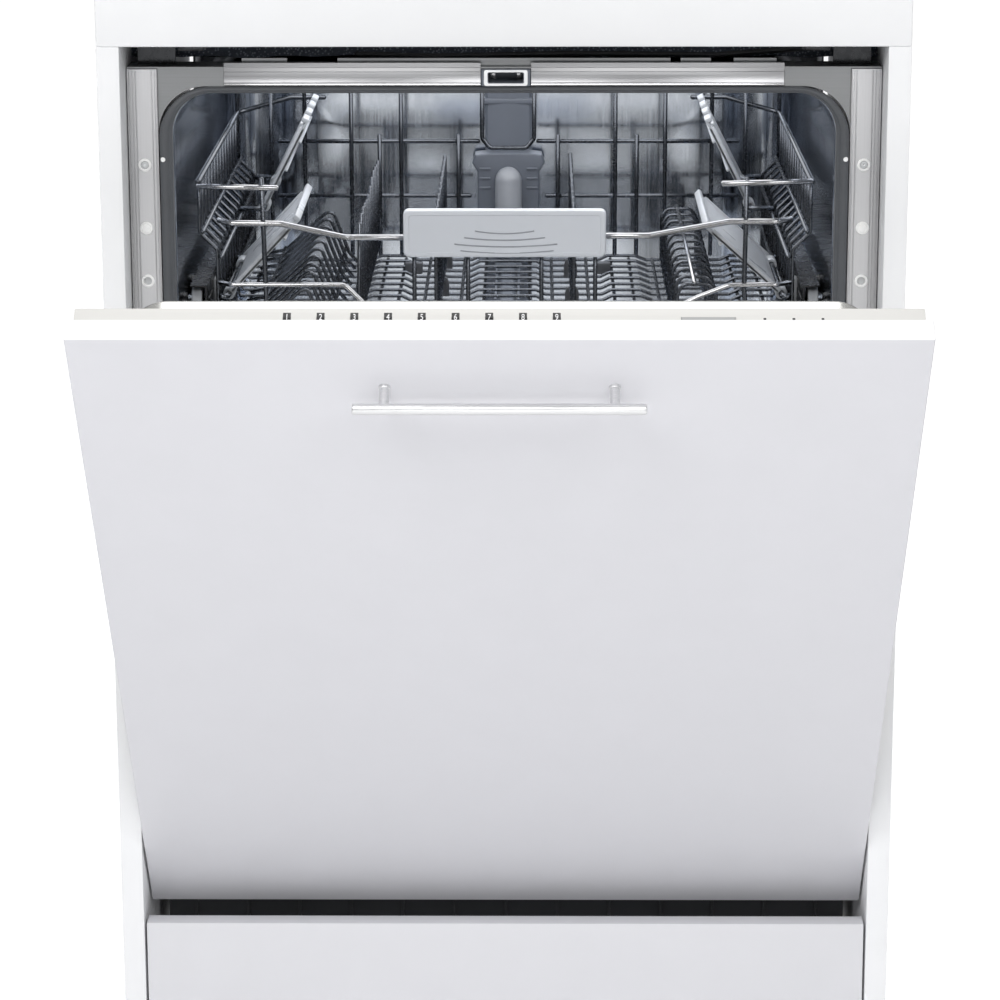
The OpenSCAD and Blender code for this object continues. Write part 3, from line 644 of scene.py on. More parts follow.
def gasket():
    """A hollow lipped seal round the sides and top of the opening."""
    b = place("door_gasket")
    section = [(0.2, 0.4), (2.2, -0.3), (4.0, 0.6), (5.6, 0.2), (7.8, 0.3), (10.4, 1.6),
               (10.8, 4.4), (10.9, 9.8), (0.2, 9.8), (0.0, 5.0)]
    r_in, steps = 32.0, 10
    inner_x, top = b.x1 - 11, b.z1 - 5
    path = [(inner_x, b.z0, 0)]
    for i in range(steps + 1):
        a = math.pi / 2 * i / steps
        path.append((inner_x - r_in + r_in * math.cos(a), top - r_in + r_in * math.sin(a), a))
    path += [(-x, z, math.pi - a) for x, z, a in path[::-1]]
    rings = []
    for x, z, a in path:
        # the section lies across the path: outwards by u, into the depth by v; the top is narrower
        k = 1.0 - 0.54 * math.sin(a)
        out, up = math.cos(a) * k, math.sin(a) * k
        rings.append([(x + out * u, b.y0 + v, z + up * u) for u, v in section])
    make("door_seal", Shape().loft(rings), RUBBER, "cabinet", "door_gasket", 40)
    s = Shape()
    for side in (-1, 1):
        s.lathe([(0, b.y0 - 0.1), (1.7, b.y0), (2.1, b.y0 + 0.6), (2.1, b.y0 + 3)],
                (side * (b.x1 - 3.2), 0, 727), Y, 20)
    make("seal_nubs", s, WHITE_PLASTIC, "cabinet")


def latch():
    """The latch's case with its pocket, bright surround and striker."""
    b = place("latch_housing")
    ob = make("latch_case", Shape().fill(b, 0.9), DUCT, "cabinet", "latch_housing")
    low, high = (b.x0 + 5.5, b.y0 - 4, b.z0 + 2.9), (b.x1 - 5.5, b.y0 + 23, b.z1 - 2.6)
    carve(ob, Shape().block(low, high, 1.6, 3))
    s = Shape()
    outer = soft_rect(b.x0 + 2.2, b.z0 + 0.6, b.x1 - 2.2, b.z1 - 0.5, 1.8, 4)
    inner = soft_rect(b.x0 + 5.0, b.z0 + 2.5, b.x1 - 5.0, b.z1 - 2.3, 1.2, 4)
    rings = [[(x, b.y0 + dy, z) for x, z in outline]
             for outline, dy in ((outer, 0), (outer, -0.5), (inner, -0.5), (inner, 1))]
    s.loft(rings, loop=True)
    make("latch_surround", s, ZINC, "cabinet")
    s = Shape()
    s.tube([(x, b.y0 + 21, b.z1 - 4.6) for x in (b.x0 + 5.8, b.x1 - 5.8)], 1.1, 0)
    for x in (b.x0 + 7, b.x1 - 11):
        s.block((x, b.y1 - 8.5, b.z0 + 3.2), (x + 4, b.y1 - 7.6, b.z1 - 3.0), 0.3)
    make("latch_striker", s, PAINTED_LIT_WIRE_AND_STEEL, "cabinet")


def roof_and_brackets():
    """What shows in the gap under the worktop: felt, brackets and wires."""
    finish_node("sound_blanket", BITUMEN)
    finish_node("worktop_brackets", BRACKET, 0.35)
    b = place("sound_blanket")
    top = place("worktop_brackets").z1
    rings = []
    for i in range(41):
        x = b.x0 - 34 + (b.x1 - b.x0 + 68) * i / 40
        wob = 0.9 * math.sin(i * 1.7) + 0.6 * math.sin(i * 0.61 + 1)
        rings.append([(x, 86, 803.5 + wob), (x, 92, 816 + wob * 0.6), (x, 200, 817.5 + wob * 0.5),
                      (x, 520, 816), (x, 520, 802.5), (x, 92, 802.5)])
    make("roof_felt", Shape().loft(rings), BITUMEN, "cabinet", angle=60)
    s = Shape()
    s.tube([(-120, 84, 805.5), (-60, 82, 804), (60, 83, 806), (170, 84, 804.5), (262, 82, 812)],
           2.2, 20, 8)
    make("roof_lead", s, DARK_PLASTIC, "cabinet")
    s = Shape()
    for x in (244, 268, 286):
        s.block((x - 4, 27, top - 3.2), (x + 4, 34 if x != 268 else 30, top - 2), 0.4)
    s.block((238, 40, top - 8), (258, 41.2, top - 2.2), 0.4)
    s.mirrored()
    make("bracket_tabs", s, BRACKET, "cabinet")


# ---- upper rack ----

THIN_WIRE, MID_WIRE, THICK_WIRE = 1.55, 1.7, 2.3


def rows(first, last, count):
    """Evenly spaced places from first to last."""
    return [first + (last - first) * i / (count - 1) for i in range(count)]


def upper_wires():
    """The upper basket: stepped cross wires, rims, floor, rear wall and the shelves' rods."""
    b = place("upper_basket")
    front, back = b.y0 + 2, b.y1 - 3.0
    floor_z, rim = b.z0 + 4, 700.0
    out, inn, step_low, step_high = b.x1 - 2, b.x1 - 16, 643.0, 657.0
    s = Shape()
    # cross wires: one long U each, stepped in at the sides, dipping between the tine rows
    half = [(out, rim), (out, step_high), (inn, step_low), (inn, floor_z)]
    floor_run = [(205, 0), (196, -4), (128, -4), (118, 0), (92, 0), (84, -4), (34, -4), (26, 0)]
    right = half + [(x, floor_z + dz) for x, dz in floor_run]
    whole = [(-x, z) for x, z in right] + [(x, z) for x, z in right[::-1]]
    for y in rows(front + 10, back, 15):
        s.tube([(x, y, z) for x, z in whole], THIN_WIRE, 5, 8, 3)
    # rims and the lengthwise wires that tie the sides together
    for x, z in ((out, step_high + 1), (inn - 1, 600), (inn - 1, step_low - 6)):
        for k in (-1, 1):
            s.tube([(k * (x - 2.6), front + 6, z), (k * (x - 2.6), back + 2, z)], 1.8, 0)
    for k in (-1, 1):
        s.tube([(k * out, front + 3, rim), (k * out, back, rim), (k * (out - 50), back + 1, rim + 14),
                (k * (out - 82), back + 1, rim + 14)], THICK_WIRE, 10)
        s.tube([(k * out, back, step_high), (k * out, back, rim + 38), (k * 188, back, rim + 38),
                (k * 188, back, floor_z)], 2.0, 10)
    # lengthwise floor wires
    pairs = [k * x for k in (-1, 1) for x in (20, 40, 72, 95, 112, 134, 150, 204, 225)]
    for x in pairs + [178]:
        s.tube([(x, front, floor_z - 3.4), (x, back + 2, floor_z - 3.4)], 1.6, 0, 8)
    # rear wall
    for x, top in ((219, rim + 36), (145, rim + 36), (99, rim + 36), (119, 680), (46, 680)):
        for k in (-1, 1):
            s.tube([(k * x, back, floor_z), (k * x, back, top)], 2.0, 0, 8)
    for z, near in ((673, 26), (622, 34)):
        for k in (-1, 1):
            s.tube([(k * near, back + 2.6, z), (k * (inn - 22), back + 2.6, z)], 2.1, 0)
    loop = [(-24, rim + 36), (-24, 676), (-17, 667)]
    loop += [(-x, z) for x, z in loop[::-1]]
    s.tube([(x, back, z) for x, z in loop], 2.1, 6)
    for side, k in SIDES:
        for end in ENDS:
            at, sh = pivot(f"shelf_{end}_{side}_fold"), place(f"shelf_{end}_{side}")
            wall = k * (inn - 1 if at.z < step_low else inn + 1)
            s.tube([(wall, sh.y0 - 7, at.z), (at.x, sh.y0 - 7, at.z), (at.x, sh.y1 + 7, at.z),
                    (wall, sh.y1 + 7, at.z)], 2.45, 3, 12)
    make("upper_wires", s, WIRE, "upper_rack", "upper_basket", 60)
    upper_front(front, floor_z, rim, out, inn)
    fixed_tines(front, back, floor_z)
    clips(floor_z)


def upper_front(y, floor_z, rim, out, inn):
    """The front wall: short rails in a lighter wire colour that paints the light falling on them from the
    front, uprights and the bent wires that carry the grip.
    """
    s = Shape()
    grip = place("upper_handle")
    s.tube([(-out - 1.5, y + 2, rim - 3.5), (-184, y - 1, rim - 4.5)], THICK_WIRE, 0, 12)
    s.tube([(out + 1.0, y + 2, rim + 0.5), (176, y - 1, rim - 1)], THICK_WIRE, 0, 12)
    left = [(-inn + 1, y + 8, 668), (-inn + 12, y, 666.5), (-183, y, 666), (-130, y, 654.6),
            (grip.x0 + 6, y, 654.6)]
    right = [(grip.x1 - 6, y, 656), (118, y, 656), (183, y, 667.7), (inn - 14, y, 667.7),
             (inn - 1, y + 8, 669)]
    s.tube(left, 2.5, 14, 12)
    s.tube(right, 2.5, 14, 12)
    s.tube([(grip.x0 + 4, y + 1, 655), (grip.x1 - 4, y + 1, 656)], 2.5, 0, 12)
    s.tube([(-inn + 1, y + 8, 616), (-inn + 12, y, 615.5), (-131, y, 615), (-116, y, 600),
            (-112, y, floor_z)], 2.1, 8)
    s.tube([(140, y, floor_z), (144, y, 598), (158, y, 605), (184, y, 615), (inn - 14, y, 615.5),
            (inn - 1, y + 8, 616)], 2.1, 8)
    make("upper_front_rails", s, PAINTED_LIT_WIRE_AND_STEEL, "upper_rack", angle=60)
    s = Shape()
    for x in (-198, 197):
        knee = x + (2 if x < 0 else -1)
        s.tube([(x, y + 1.5, rim + 4), (knee, y + 1.5, 612), (x + 3, y + 1.5, floor_z)], 2.0, 6)
    for x in (-74, -30, 30, 74):
        s.tube([(x, y + 1, 655), (x, y + 1, floor_z + 4), (x, y + 8, floor_z - 3)], 1.8, 5)
    s.tube([(-inn, y + 1, floor_z), (inn, y + 1, floor_z)], 2.3, 0)
    make("upper_front_wires", s, WIRE, "upper_rack", angle=60)


def fixed_tines(front, back, floor_z):
    """The rows that don't fold: upright tines, leaning hairpins on the left, hoops on the right."""
    s = Shape()
    for i, y in enumerate(rows(front + 16, back - 34, 12)):
        s.tube([(-126, y, floor_z - 2), (-121, y, floor_z + 10), (-119, y, 664 + 3 * math.sin(i))],
               MID_WIRE, 6, 8)
    hairpin = [(-225, floor_z + 4), (-206, floor_z + 8), (-169, 608), (-162, 609),
               (-148, floor_z + 6), (-140, floor_z - 4)]
    for y in rows(front + 12, back - 12, 11):
        s.tube([(x, y, z) for x, z in hairpin], THIN_WIRE + 0.1, 4.5, 8, 4)
    for x in (-207, -151):
        s.tube([(x, front + 6, 574.8), (x, back - 6, 574.8)], 1.6, 0, 8)
    hoop = [(142, floor_z - 3), (142, 604), (147, 612), (169, 612), (174, 604), (174, floor_z - 3)]
    for y in rows(front + 20, back - 12, 12):
        s.tube([(x, y, z) for x, z in hoop], MID_WIRE, 6, 8, 3)
    make("upper_fixed_tines", s, WIRE, "upper_rack", angle=60)
    # the rail over the hoops takes the lighter copy of the rack wire, painted light from the front
    s = Shape().tube([(156, front + 14, 614.6), (156, back - 8, 614.6)], MID_WIRE, 0)
    make("hoop_rail", s, PAINTED_LIT_WIRE_AND_STEEL, "upper_rack", angle=60)


def clips(floor_z):
    """Dark clips that hold the folding rows and the shelves' rods."""
    s = Shape()
    half = [(6, floor_z - 4), (6, -1), (4.5, 3.6), (2.4, 5), (2.1, 0.6)]
    for side, ys in (("left", (143, 315, 444)), ("right", (186, 272, 401))):
        at = pivot(f"fold_tines_{side}_fold")
        bite = [(dx, at.z + dz) for dx, dz in half[1:]]
        right = half[:1] + bite
        outline = right + [(0, at.z - 2.15)] + [(-dx, z) for dx, z in right[::-1]]
        for y in ys:
            s.prism([(at.x + dx, z) for dx, z in outline], Y, y - 3, y + 3, 0.4)
    for k in (-1, 1):
        for y in (150, 430):
            s.block((k * 86 - 8, y - 5, floor_z - 6), (k * 86 + 8, y + 5, floor_z + 4.5), 1.2)
    make("tine_clips", s, CLIP, "upper_rack")


def fold_row(side, first):
    """A folding row: its rod and eleven tines."""
    name = f"fold_tines_{side}"
    at, b = pivot(name + "_fold"), place(name)
    s = Shape().tube([(at.x, b.y0, at.z), (at.x, b.y1, at.z)], 1.9, 0, 12)
    for y in (first + 30 * i for i in range(11)):
        s.tube([(at.x, y, at.z + 1), (at.x, y, b.z1)], MID_WIRE, 0, 8)
    make(f"tine_row_{side}", s, WIRE, name, name, 60)


def cup_shelf(end, side, tilt, stepped):
    """A ribbed plastic shelf, drawn level from its hinge and then tilted."""
    name = f"shelf_{end}_{side}"
    at, b = pivot(name + "_fold"), place(name)
    y0, y1, reach, ribs = b.y0, b.y1, 87.5, 22
    s = Shape()
    pitch = (y1 - y0) / ribs

    def edge(y):
        return reach - (9.0 if stepped and int((y - y0) / (pitch * 3)) % 2 else 0.0)
    for i in range(ribs):
        ya, yb = y0 + pitch * i, y0 + pitch * (i + 1)
        far = edge((ya + yb) / 2)
        s.block((4, ya, -1.3), (far - 3, yb + 0.02, 0.5), 0)
        s.block((8, ya + pitch * 0.24, 0.2), (far - 5, yb - pitch * 0.24, 2.1), 0.6)
    group = pitch * (3 if stepped else ribs)
    y = y0
    while y < y1 - 1:
        far = edge(y + 1)
        s.block((far - 4.5, y, -1.6), (far, min(y + group, y1), 4.4), 1.1, 3)
        y += group
    for ya in (y0, y1 - 2.4):
        s.block((3, ya, -1.6), (reach - 9, ya + 2.4, 3.6), 0.8)
    for x in (reach * 0.42, reach * 0.74):
        s.block((x, y0 + 2, -4.2), (x + 2, y1 - 2, -1), 0.5)
    ring = [(2.75, 0), (4.7, 0), (4.9, 0.3), (4.9, 19.7), (4.7, 20), (2.75, 20)]
    for ya in (y0 + 6, y1 - 26):
        s.lathe([(r, ya + h) for r, h in ring], (0, 0, 0), Y, 24, loop=True)
        s.block((3.3, ya, -1.3), (8, ya + 20, 1.4), 0.3)
    turn = Matrix.Rotation(math.radians(-tilt), 4, "Y")
    shift = Matrix.Translation((-abs(at.x), 0, at.z))
    flip = Matrix.Scale(-1, 4, (1, 0, 0)) if side == "right" else Matrix.Identity(4)
    placed = Shape().add(s.verts, s.faces, flip @ shift @ turn)
    make(f"cup_{name}", placed, RACK_PLASTIC, name, name)


def upper_grip():
    """The grip plate: bowed lower edge, bevelled border and four fine curved ridges."""
    b = place("upper_handle")
    half, bow = (b.x1 - b.x0) / 2, 3.6

    def ring(y, inset):
        pts = soft_rect(b.x0 + inset, b.z0 + inset, b.x1 - inset, b.z1 - inset, 4.5 - inset * 0.4, 5)
        return [(x, y, z + (bow * (x / half) ** 2 if z < b.cz else 0.0)) for x, z in pts]
    depth = [(b.y1 - 0.2, 1.0), (b.y1 - 0.2, 0.0), (b.y0 + 2.4, 0.0), (b.y0 + 0.8, 0.7),
             (b.y0 + 0.35, 1.6), (b.y0 + 0.35, 4.2), (b.y0 + 0.9, 4.8)]
    s = Shape().loft([ring(y, inset) for y, inset in depth])
    make("grip_plate", s, HANDLE_PLASTIC, "upper_rack", "upper_handle", 30)
    s = Shape()
    for i, (reach, lean) in enumerate(((24, 0), (33, 0), (42, 1), (38, 2))):
        z = b.z1 - 17.2 - 5.4 * i
        s.tube([(lean + reach * t, b.y0 + 0.72, z - 2.2 * (1 - t * t)) for t in rows(-1, 1, 17)],
               0.52, 0, 6)
    make("grip_ridges", s, DOME, "upper_rack", angle=60)
    s = Shape()
    for x in (-54, 54):
        s.block((x - 9, b.y1 - 1, 649), (x + 9, b.y1 + 3.4, 662), 1.2)
    make("grip_clamps", s, HANDLE_PLASTIC, "upper_rack")


def upper_rails():
    """Rolled C rails on both sides with their stops and brackets."""
    b = place("upper_rails")
    inner, outer = b.x1 - 14, b.x1
    outline = [(inner, b.z0), (outer, b.z0), (outer, b.z0 + 1.3), (inner + 1.6, b.z0 + 1.7),
               (inner + 1.6, b.z1 - 1.7), (outer, b.z1 - 1.3), (outer, b.z1), (inner, b.z1)]
    s = Shape().prism(outline, Y, b.y0, b.y1, 0.3)
    s.block((inner - 0.9, b.y0 + 6, b.cz - 5), (inner + 0.4, b.y1 - 6, b.cz + 5), 0.9, 3)
    s.mirrored()
    make("side_rails", s, BRACKET, "upper_rack", "upper_rails")
    s = Shape()
    for y in (143, 315, 487):
        s.block((b.x1 - 20, y - 9, 588), (inner + 0.2, y + (9 if y < 480 else 3), 612), 1.6, 3)
        s.lathe([(0, inner + 2.6), (2.2, inner + 2.5), (3.0, inner + 1.6), (3.0, inner)],
                (0, y, 600), X, 20)
    s.mirrored()
    make("rail_brackets", s, GREY_PLASTIC, "upper_rack")


def roller(end, side):
    """A guide roller on the tub's wall: grooved rim, web, hub and six spokes."""
    name = f"roller_{end}_{side}"
    b = place(name)
    r, bore, hub = (b.y1 - b.y0) / 2, 4.12, 6.4
    x0, x1, mid, centre = b.x0, b.x1, b.cx, (0, b.cy, b.cz)
    s = Shape()
    s.lathe([(r - 3.4, x0 + 0.5), (r - 0.8, x0), (r, x0 + 0.9), (r - 0.5, mid), (r, x1 - 0.9),
             (r - 0.8, x1), (r - 3.4, x1 - 0.5), (r - 3.8, mid)], centre, X, 40, loop=True)
    s.lathe([(bore, x0 + 0.4), (hub, x0 + 0.4), (hub + 0.2, mid), (hub, x1 - 0.4),
             (bore, x1 - 0.4)], centre, X, 28, loop=True)
    s.lathe([(6.2, mid - 0.9), (r - 3.3, mid - 0.9), (r - 3.3, mid + 0.9), (6.2, mid + 0.9)],
            centre, X, 40, loop=True)
    s.spokes(6, centre, "X", (x0 + 1.2, -0.8, 6.2), (x1 - 1.2, 0.8, r - 3.2))
    make(name + "_disc", s, GREY_PLASTIC, name, name)


def feed_pipe():
    """The upper rack's water pipe, its docking mouth and the hub of the upper spray arm."""
    b, arm = place("upper_feed"), place("upper_arm")
    y, z = arm.cy, 551.0
    s = Shape()
    s.lathe([(6.5, y - 6), (8.6, y - 4), (8.8, y + 30), (8.8, b.y1 - 22), (10.6, b.y1 - 16),
             (10.8, b.y1 - 8)], (0, 0, z), Y, 32)
    body = [(-12.6, b.z1 - 20.6), (12.6, b.z1 - 20.6), (12.6, b.z1 - 3), (9, b.z1 - 0.2),
            (-9, b.z1 - 0.2), (-12.6, b.z1 - 3)]
    s.prism(body, Y, b.y1 - 7, b.y1 - 0.2, 0.8)
    for yy in (y + 40, y + 90, y + 140):
        s.lathe([(8.6, yy - 2), (9.6, yy - 1.6), (9.6, yy + 1.6), (8.6, yy + 2)],
                (0, 0, z), Y, 32, loop=True)
    s.lathe([(0, b.z0 + 0.1), (9, b.z0 + 0.2), (12.6, b.z0 + 1.2), (12.8, b.z0 + 4.6),
             (8, b.z0 + 5.2), (7.9, z - 12)], (0, y, 0), Z, 36)
    s.lathe([(12.8, 536.8), (12.8, 548), (11.6, 554), (9, 556), (0, 556)], (0, y, 0), Z, 36)
    for x in (-1, 1):
        s.block((x * 10 - 1, y + 20, z + 6), (x * 10 + 1, b.y1 - 30, z + 10.5), 0.5)
    make("feed_pipe", s, DUCT, "upper_rack", "upper_feed")


def spray_arm(node, holes):
    """A hollow two-bladed arm: humped blades, pressed seam, nozzle collars and hub."""
    b = place(node)
    cy, low, high = b.cy, b.z0 + 2, b.z1 - 2
    wide = b.y1 - b.y0 > 40
    hub_r, bore, blade_half = (22.0, 10.1, 22.0) if wide else (17.0, 8.1, 17.0)
    rings = []
    for t in rows(-1, 1, 29):
        far = abs(t)
        w = blade_half * (0.62 + 0.38 * (1 - far) ** 0.7) * math.sqrt(max(0.02, 1 - far ** 9))
        tip = 1 - far ** 6
        hump, keel = 5 + (high - low - 5) * tip, 1.2 * (1 - tip)
        half = [(w, 2.4), (w, 3.6), (w - 2.5, 4.2), (w * 0.55, hump - 0.7), (w * 0.2, hump)]
        ring = half + [(-u, v) for u, v in half[::-1]] + [(-w * 0.7, keel), (w * 0.7, keel)]
        rings.append([(t * (b.x1 - 0.6), cy + u, low + v) for u, v in ring])
    s = Shape().loft(rings)
    nozzle = [(1.5, high - 2.4), (1.5, high - 0.3), (3.4, high - 0.4), (4.3, high - 1.6), (4.6, high - 4)]
    for k in (-1, 1):
        for i, d in enumerate(holes):
            s.lathe(nozzle, (k * d, cy + k * (4.5 if i % 2 else -3.5), 0), Z, 20)
    ob = make(node + "_blades", s, DUCT, node, node, 40)
    eye = hub_r - 0.6
    carve(ob, Shape().lathe([(0, b.z0 - 3), (eye, b.z0 - 3), (eye, b.z1 + 3), (0, b.z1 + 3)],
                            (0, cy, 0), Z, 36))
    hub = [(bore, b.z0), (hub_r - 1, b.z0), (hub_r, b.z0 + 1), (hub_r, b.z1 - 1.2),
           (hub_r - 1.4, b.z1), (bore, b.z1)]
    make(node + "_hub", Shape().lathe(hub, (0, cy, 0), Z, 40, loop=True), DOME, node)


# ---- lower rack ----

def lower_wires():
    """The lower basket: cross wires, floor, rims, walls, tines, grip and wheel carriers."""
    b, wheel_at = place("lower_basket"), place("wheel_front_left")
    front, back, rim, side = b.y0 + 2, b.y1 - 2, 392.0, 228.0
    low = wheel_at.cz + 20.7
    s = Shape()
    half = [(side, rim), (side, low + 10), (side - 10, low), (206, low), (198, low - 3.4),
            (150, low - 3.4), (142, low), (92, low), (84, low - 3.4), (44, low - 3.4), (36, low)]
    whole = [(-x, z) for x, z in half] + [(x, z) for x, z in half[::-1]]
    for y in rows(front + 8, back - 4, 20):
        s.tube([(x, y, z) for x, z in whole], 1.6, 6, 8, 3)
    for x in (-200, -170, -145, -120, -95, -70, -45, -20, 5, 30, 55, 80, 110, 140, 170, 200):
        s.tube([(x, front, low - 3.3), (x, back, low - 3.3)], 1.6, 0, 8)
    for z, r in ((rim, 2.4), (320, 1.8)):
        mid = (-side, (front + back) / 2, z)
        s.tube([mid, (-side, front, z), (side, front, z), (side, back, z), (-side, back, z), mid],
               r, 14, 10)
    for y in (front, back):
        for x in rows(-208, 208, 17):
            s.tube([(x, y, low - 3), (x, y, rim)], 1.6, 0, 8)
    make("lower_wires", s, WIRE, "lower_rack", "lower_basket", 60)
    s = Shape()
    for x in (-170, -70, 30):
        for y in rows(front + 28, back - 26, 15):
            s.tube([(x + 3, y, low - 3), (x, y, low + 14), (x - 1, y, 332)], 1.75, 6, 8)
    make("lower_tines", s, WIRE, "lower_rack", angle=60)
    s = Shape()
    s.tube([(x, front - 1, rim - drop) for x, drop in ((-70, 1), (-62, 16), (62, 16), (70, 1))],
           3.0, 10, 12)
    s.block((-52, front - 3, rim - 21), (52, front + 1.5, rim - 11), 2.2, 3)
    make("lower_grip", s, HANDLE_PLASTIC, "lower_rack")
    s = Shape()
    for k in (-1, 1):
        for y in (wheel_at.cy, place("wheel_rear_left").cy):
            centre, x0, end = (0, y, wheel_at.cz), k * side, k * 248.4
            s.block((x0 - 2.6, y - 9, wheel_at.cz - 9), (x0 + 2.6, y + 9, low + 16), 1.4, 3)
            xa, xb = sorted((k * 229, k * 249))
            s.lathe([(0, xa), (3.9, xa), (3.9, xb), (0, xb)], centre, X, 20)
            s.lathe([(3.9, end - 0.8), (5.2, end - 0.4), (5.2, end + 0.4), (3.9, end + 0.6)],
                    centre, X, 20)
    make("wheel_carriers", s, GREY_PLASTIC, "lower_rack")


def wheel(end, side):
    """A wheel of the lower rack: rim, web, hub and eight spokes."""
    name = f"wheel_{end}_{side}"
    b = place(name)
    r, bore, hub = (b.y1 - b.y0) / 2, 4.1, 6.8
    x0, x1, mid, centre = b.x0, b.x1, b.cx, (0, b.cy, b.cz)
    s = Shape()
    s.lathe([(r - 3.6, x0 + 0.6), (r - 1.2, x0), (r, x0 + 1.4), (r, x1 - 1.4), (r - 1.2, x1),
             (r - 3.6, x1 - 0.6), (r - 4, mid)], centre, X, 44, loop=True)
    s.lathe([(bore, x0 + 0.3), (hub, x0 + 0.3), (hub + 0.4, mid), (hub, x1 - 0.3),
             (bore, x1 - 0.3)], centre, X, 32, loop=True)
    s.lathe([(6.9, mid - 1), (r - 3.5, mid - 1), (r - 3.5, mid + 1), (6.9, mid + 1)],
            centre, X, 44, loop=True)
    s.spokes(8, centre, "X", (x0 + 1.4, -0.9, hub), (x1 - 1.4, 0.9, r - 3.4))
    make(name + "_disc", s, GREY_PLASTIC, name, name)


def cutlery():
    """The cutlery basket: ribbed walls with open slots, cells and a hoop handle."""
    b = place("cutlery_basket")
    s = Shape()
    s.block((b.x0, b.y0, b.z0), (b.x1, b.y1, b.z0 + 2.5), 0.8)
    for z, h in ((b.z0, 9), (b.z0 + 52, 5), (b.z1 - 8, 8)):
        for x in (b.x0, b.x1 - 2.4):
            s.block((x, b.y0, z), (x + 2.4, b.y1, z + h), 0.7)
        for y in (b.y0, b.y1 - 2.4):
            s.block((b.x0, y, z), (b.x1, y + 2.4, z + h), 0.7)
    for y in rows(b.y0 + 1.2, b.y1 - 1.2, 25):
        for x in (b.x0 + 0.2, b.x1 - 2.2):
            s.block((x, y - 1.1, b.z0), (x + 2, y + 1.1, b.z1 - 1), 0.4)
    for x in rows(b.x0 + 1.2, b.x1 - 1.2, 12):
        for y in (b.y0 + 0.2, b.y1 - 2.2):
            s.block((x - 1.1, y, b.z0), (x + 1.1, y + 2, b.z1 - 1), 0.4)
    s.block((155.4, b.y0 + 1, b.z0), (157.4, b.y1 - 1, b.z1 - 3), 0.5)
    for y in (203.5, 282.5):
        s.block((b.x0 + 1, y, b.z0), (b.x1 - 1, y + 2, b.z1 - 3), 0.5)
    hoop = ((170, -6), (170, 10), (206, 19), (282, 19), (318, 10), (318, -6))
    s.tube([(156.4, y, b.z1 + up) for y, up in hoop], 3.2, 14, 12)
    make("cutlery_cells", s, RACK_PLASTIC, "lower_rack", "cutlery_basket")


# ---- door, drawn shut ----

def door_panel():
    """The furniture front, with its top and side edges in a lighter band."""
    s = Shape().fill(door_place("furniture_panel"), 1.1, 3)
    ob = make("door_front", s, [PANEL, PANEL_EDGE], "door", "furniture_panel",
              on_door=True)
    shut = SHUT_DOOR.to_3x3()
    for p in ob.data.polygons:
        n = shut @ p.normal
        p.material_index = 1 if n.z > 0.5 or abs(n.x) > 0.9 else 0


def door_shell():
    finish_node("door_shell", STRIP, 0.4)
    y = door_place("door_shell").y0
    s = Shape()
    for x in (-200, 0, 200):
        s.block((x - 28, y - 0.15, 300), (x + 28, y + 1.0, 700), 0.6)
    make("shell_pads", s, DARK_PLASTIC, "door", on_door=True)


def door_liner():
    """The steel liner: a flat rim and a raised middle with soft edges and a pressed frame."""
    n, m = door_place("door_liner"), door_place("dispenser_body")
    half, top, low, mid_z = 261.0, 776.5, 163.8, 470
    rim_y, face = n.y0 + 1.2, n.y1
    s = Shape()

    def ring(inset, y, r):
        # the upper corners are tighter than the lower ones
        sides = (-half + inset, low + 36 + inset * 0.2, half - inset, top - inset)
        wide, tight = soft_rect(*sides, r, 10), soft_rect(*sides, r - 14, 10)
        return [(x, y, z) for x, z in (q if q[1] > mid_z else p for p, q in zip(wide, tight))]
    rings = [ring(-1.5, rim_y, 42), ring(0.4, rim_y + 1.4, 40)]
    for i in range(7):
        a = math.pi / 2 * i / 6
        turned = 4 * (1 - math.cos(a))
        rings.append(ring(0.5 + turned, face - 4 + 4 * math.sin(a), 40 - turned))
    for inset, y in ((40, face), (43, face - 0.9), (49, face - 1.6), (56, face - 1.6)):
        rings.append(ring(inset, y, 30))
    s.loft(rings, caps=False)
    x0, x1, z0, z1 = m.x0 - 0.2, m.x1 + 0.2, m.z0 - 0.2, m.z1 + 0.2
    outer = [Vector(p) for p in rings[-1]]
    inner = [Vector((x, face - 1.6, z)) for x, z in ((x0, z1), (x1, z1), (x1, z0), (x0, z0))]
    s.add(outer + inner, tessellate_polygon([outer, inner]))
    # the slope below the raised middle, down to the hinge side
    slope = []
    for inset, y, z in ((36, rim_y, low + 4), (42, rim_y + 2, low + 1.8), (16, face - 14, low + 26),
                        (14, face - 4, low + 35), (22, face - 0.2, low + 44)):
        slope.append([(inset - half, y, z), (half - inset, y, z)])
    s.loft(slope, closed=False, caps=False)
    for z0, z1, x in ((228, n.z1, n.x1), (142, 228.5, 280.9)):
        s.block((-x, n.y0, z0), (x, n.y0 + 1.1, z1), 0.5)
    ob = make("liner_shell", s, LINER, "door", "door_liner", 50, True)
    mod = ob.modifiers.new("sheet", "SOLIDIFY")
    mod.thickness = 0.8 * MM
    mod.offset = 0.0


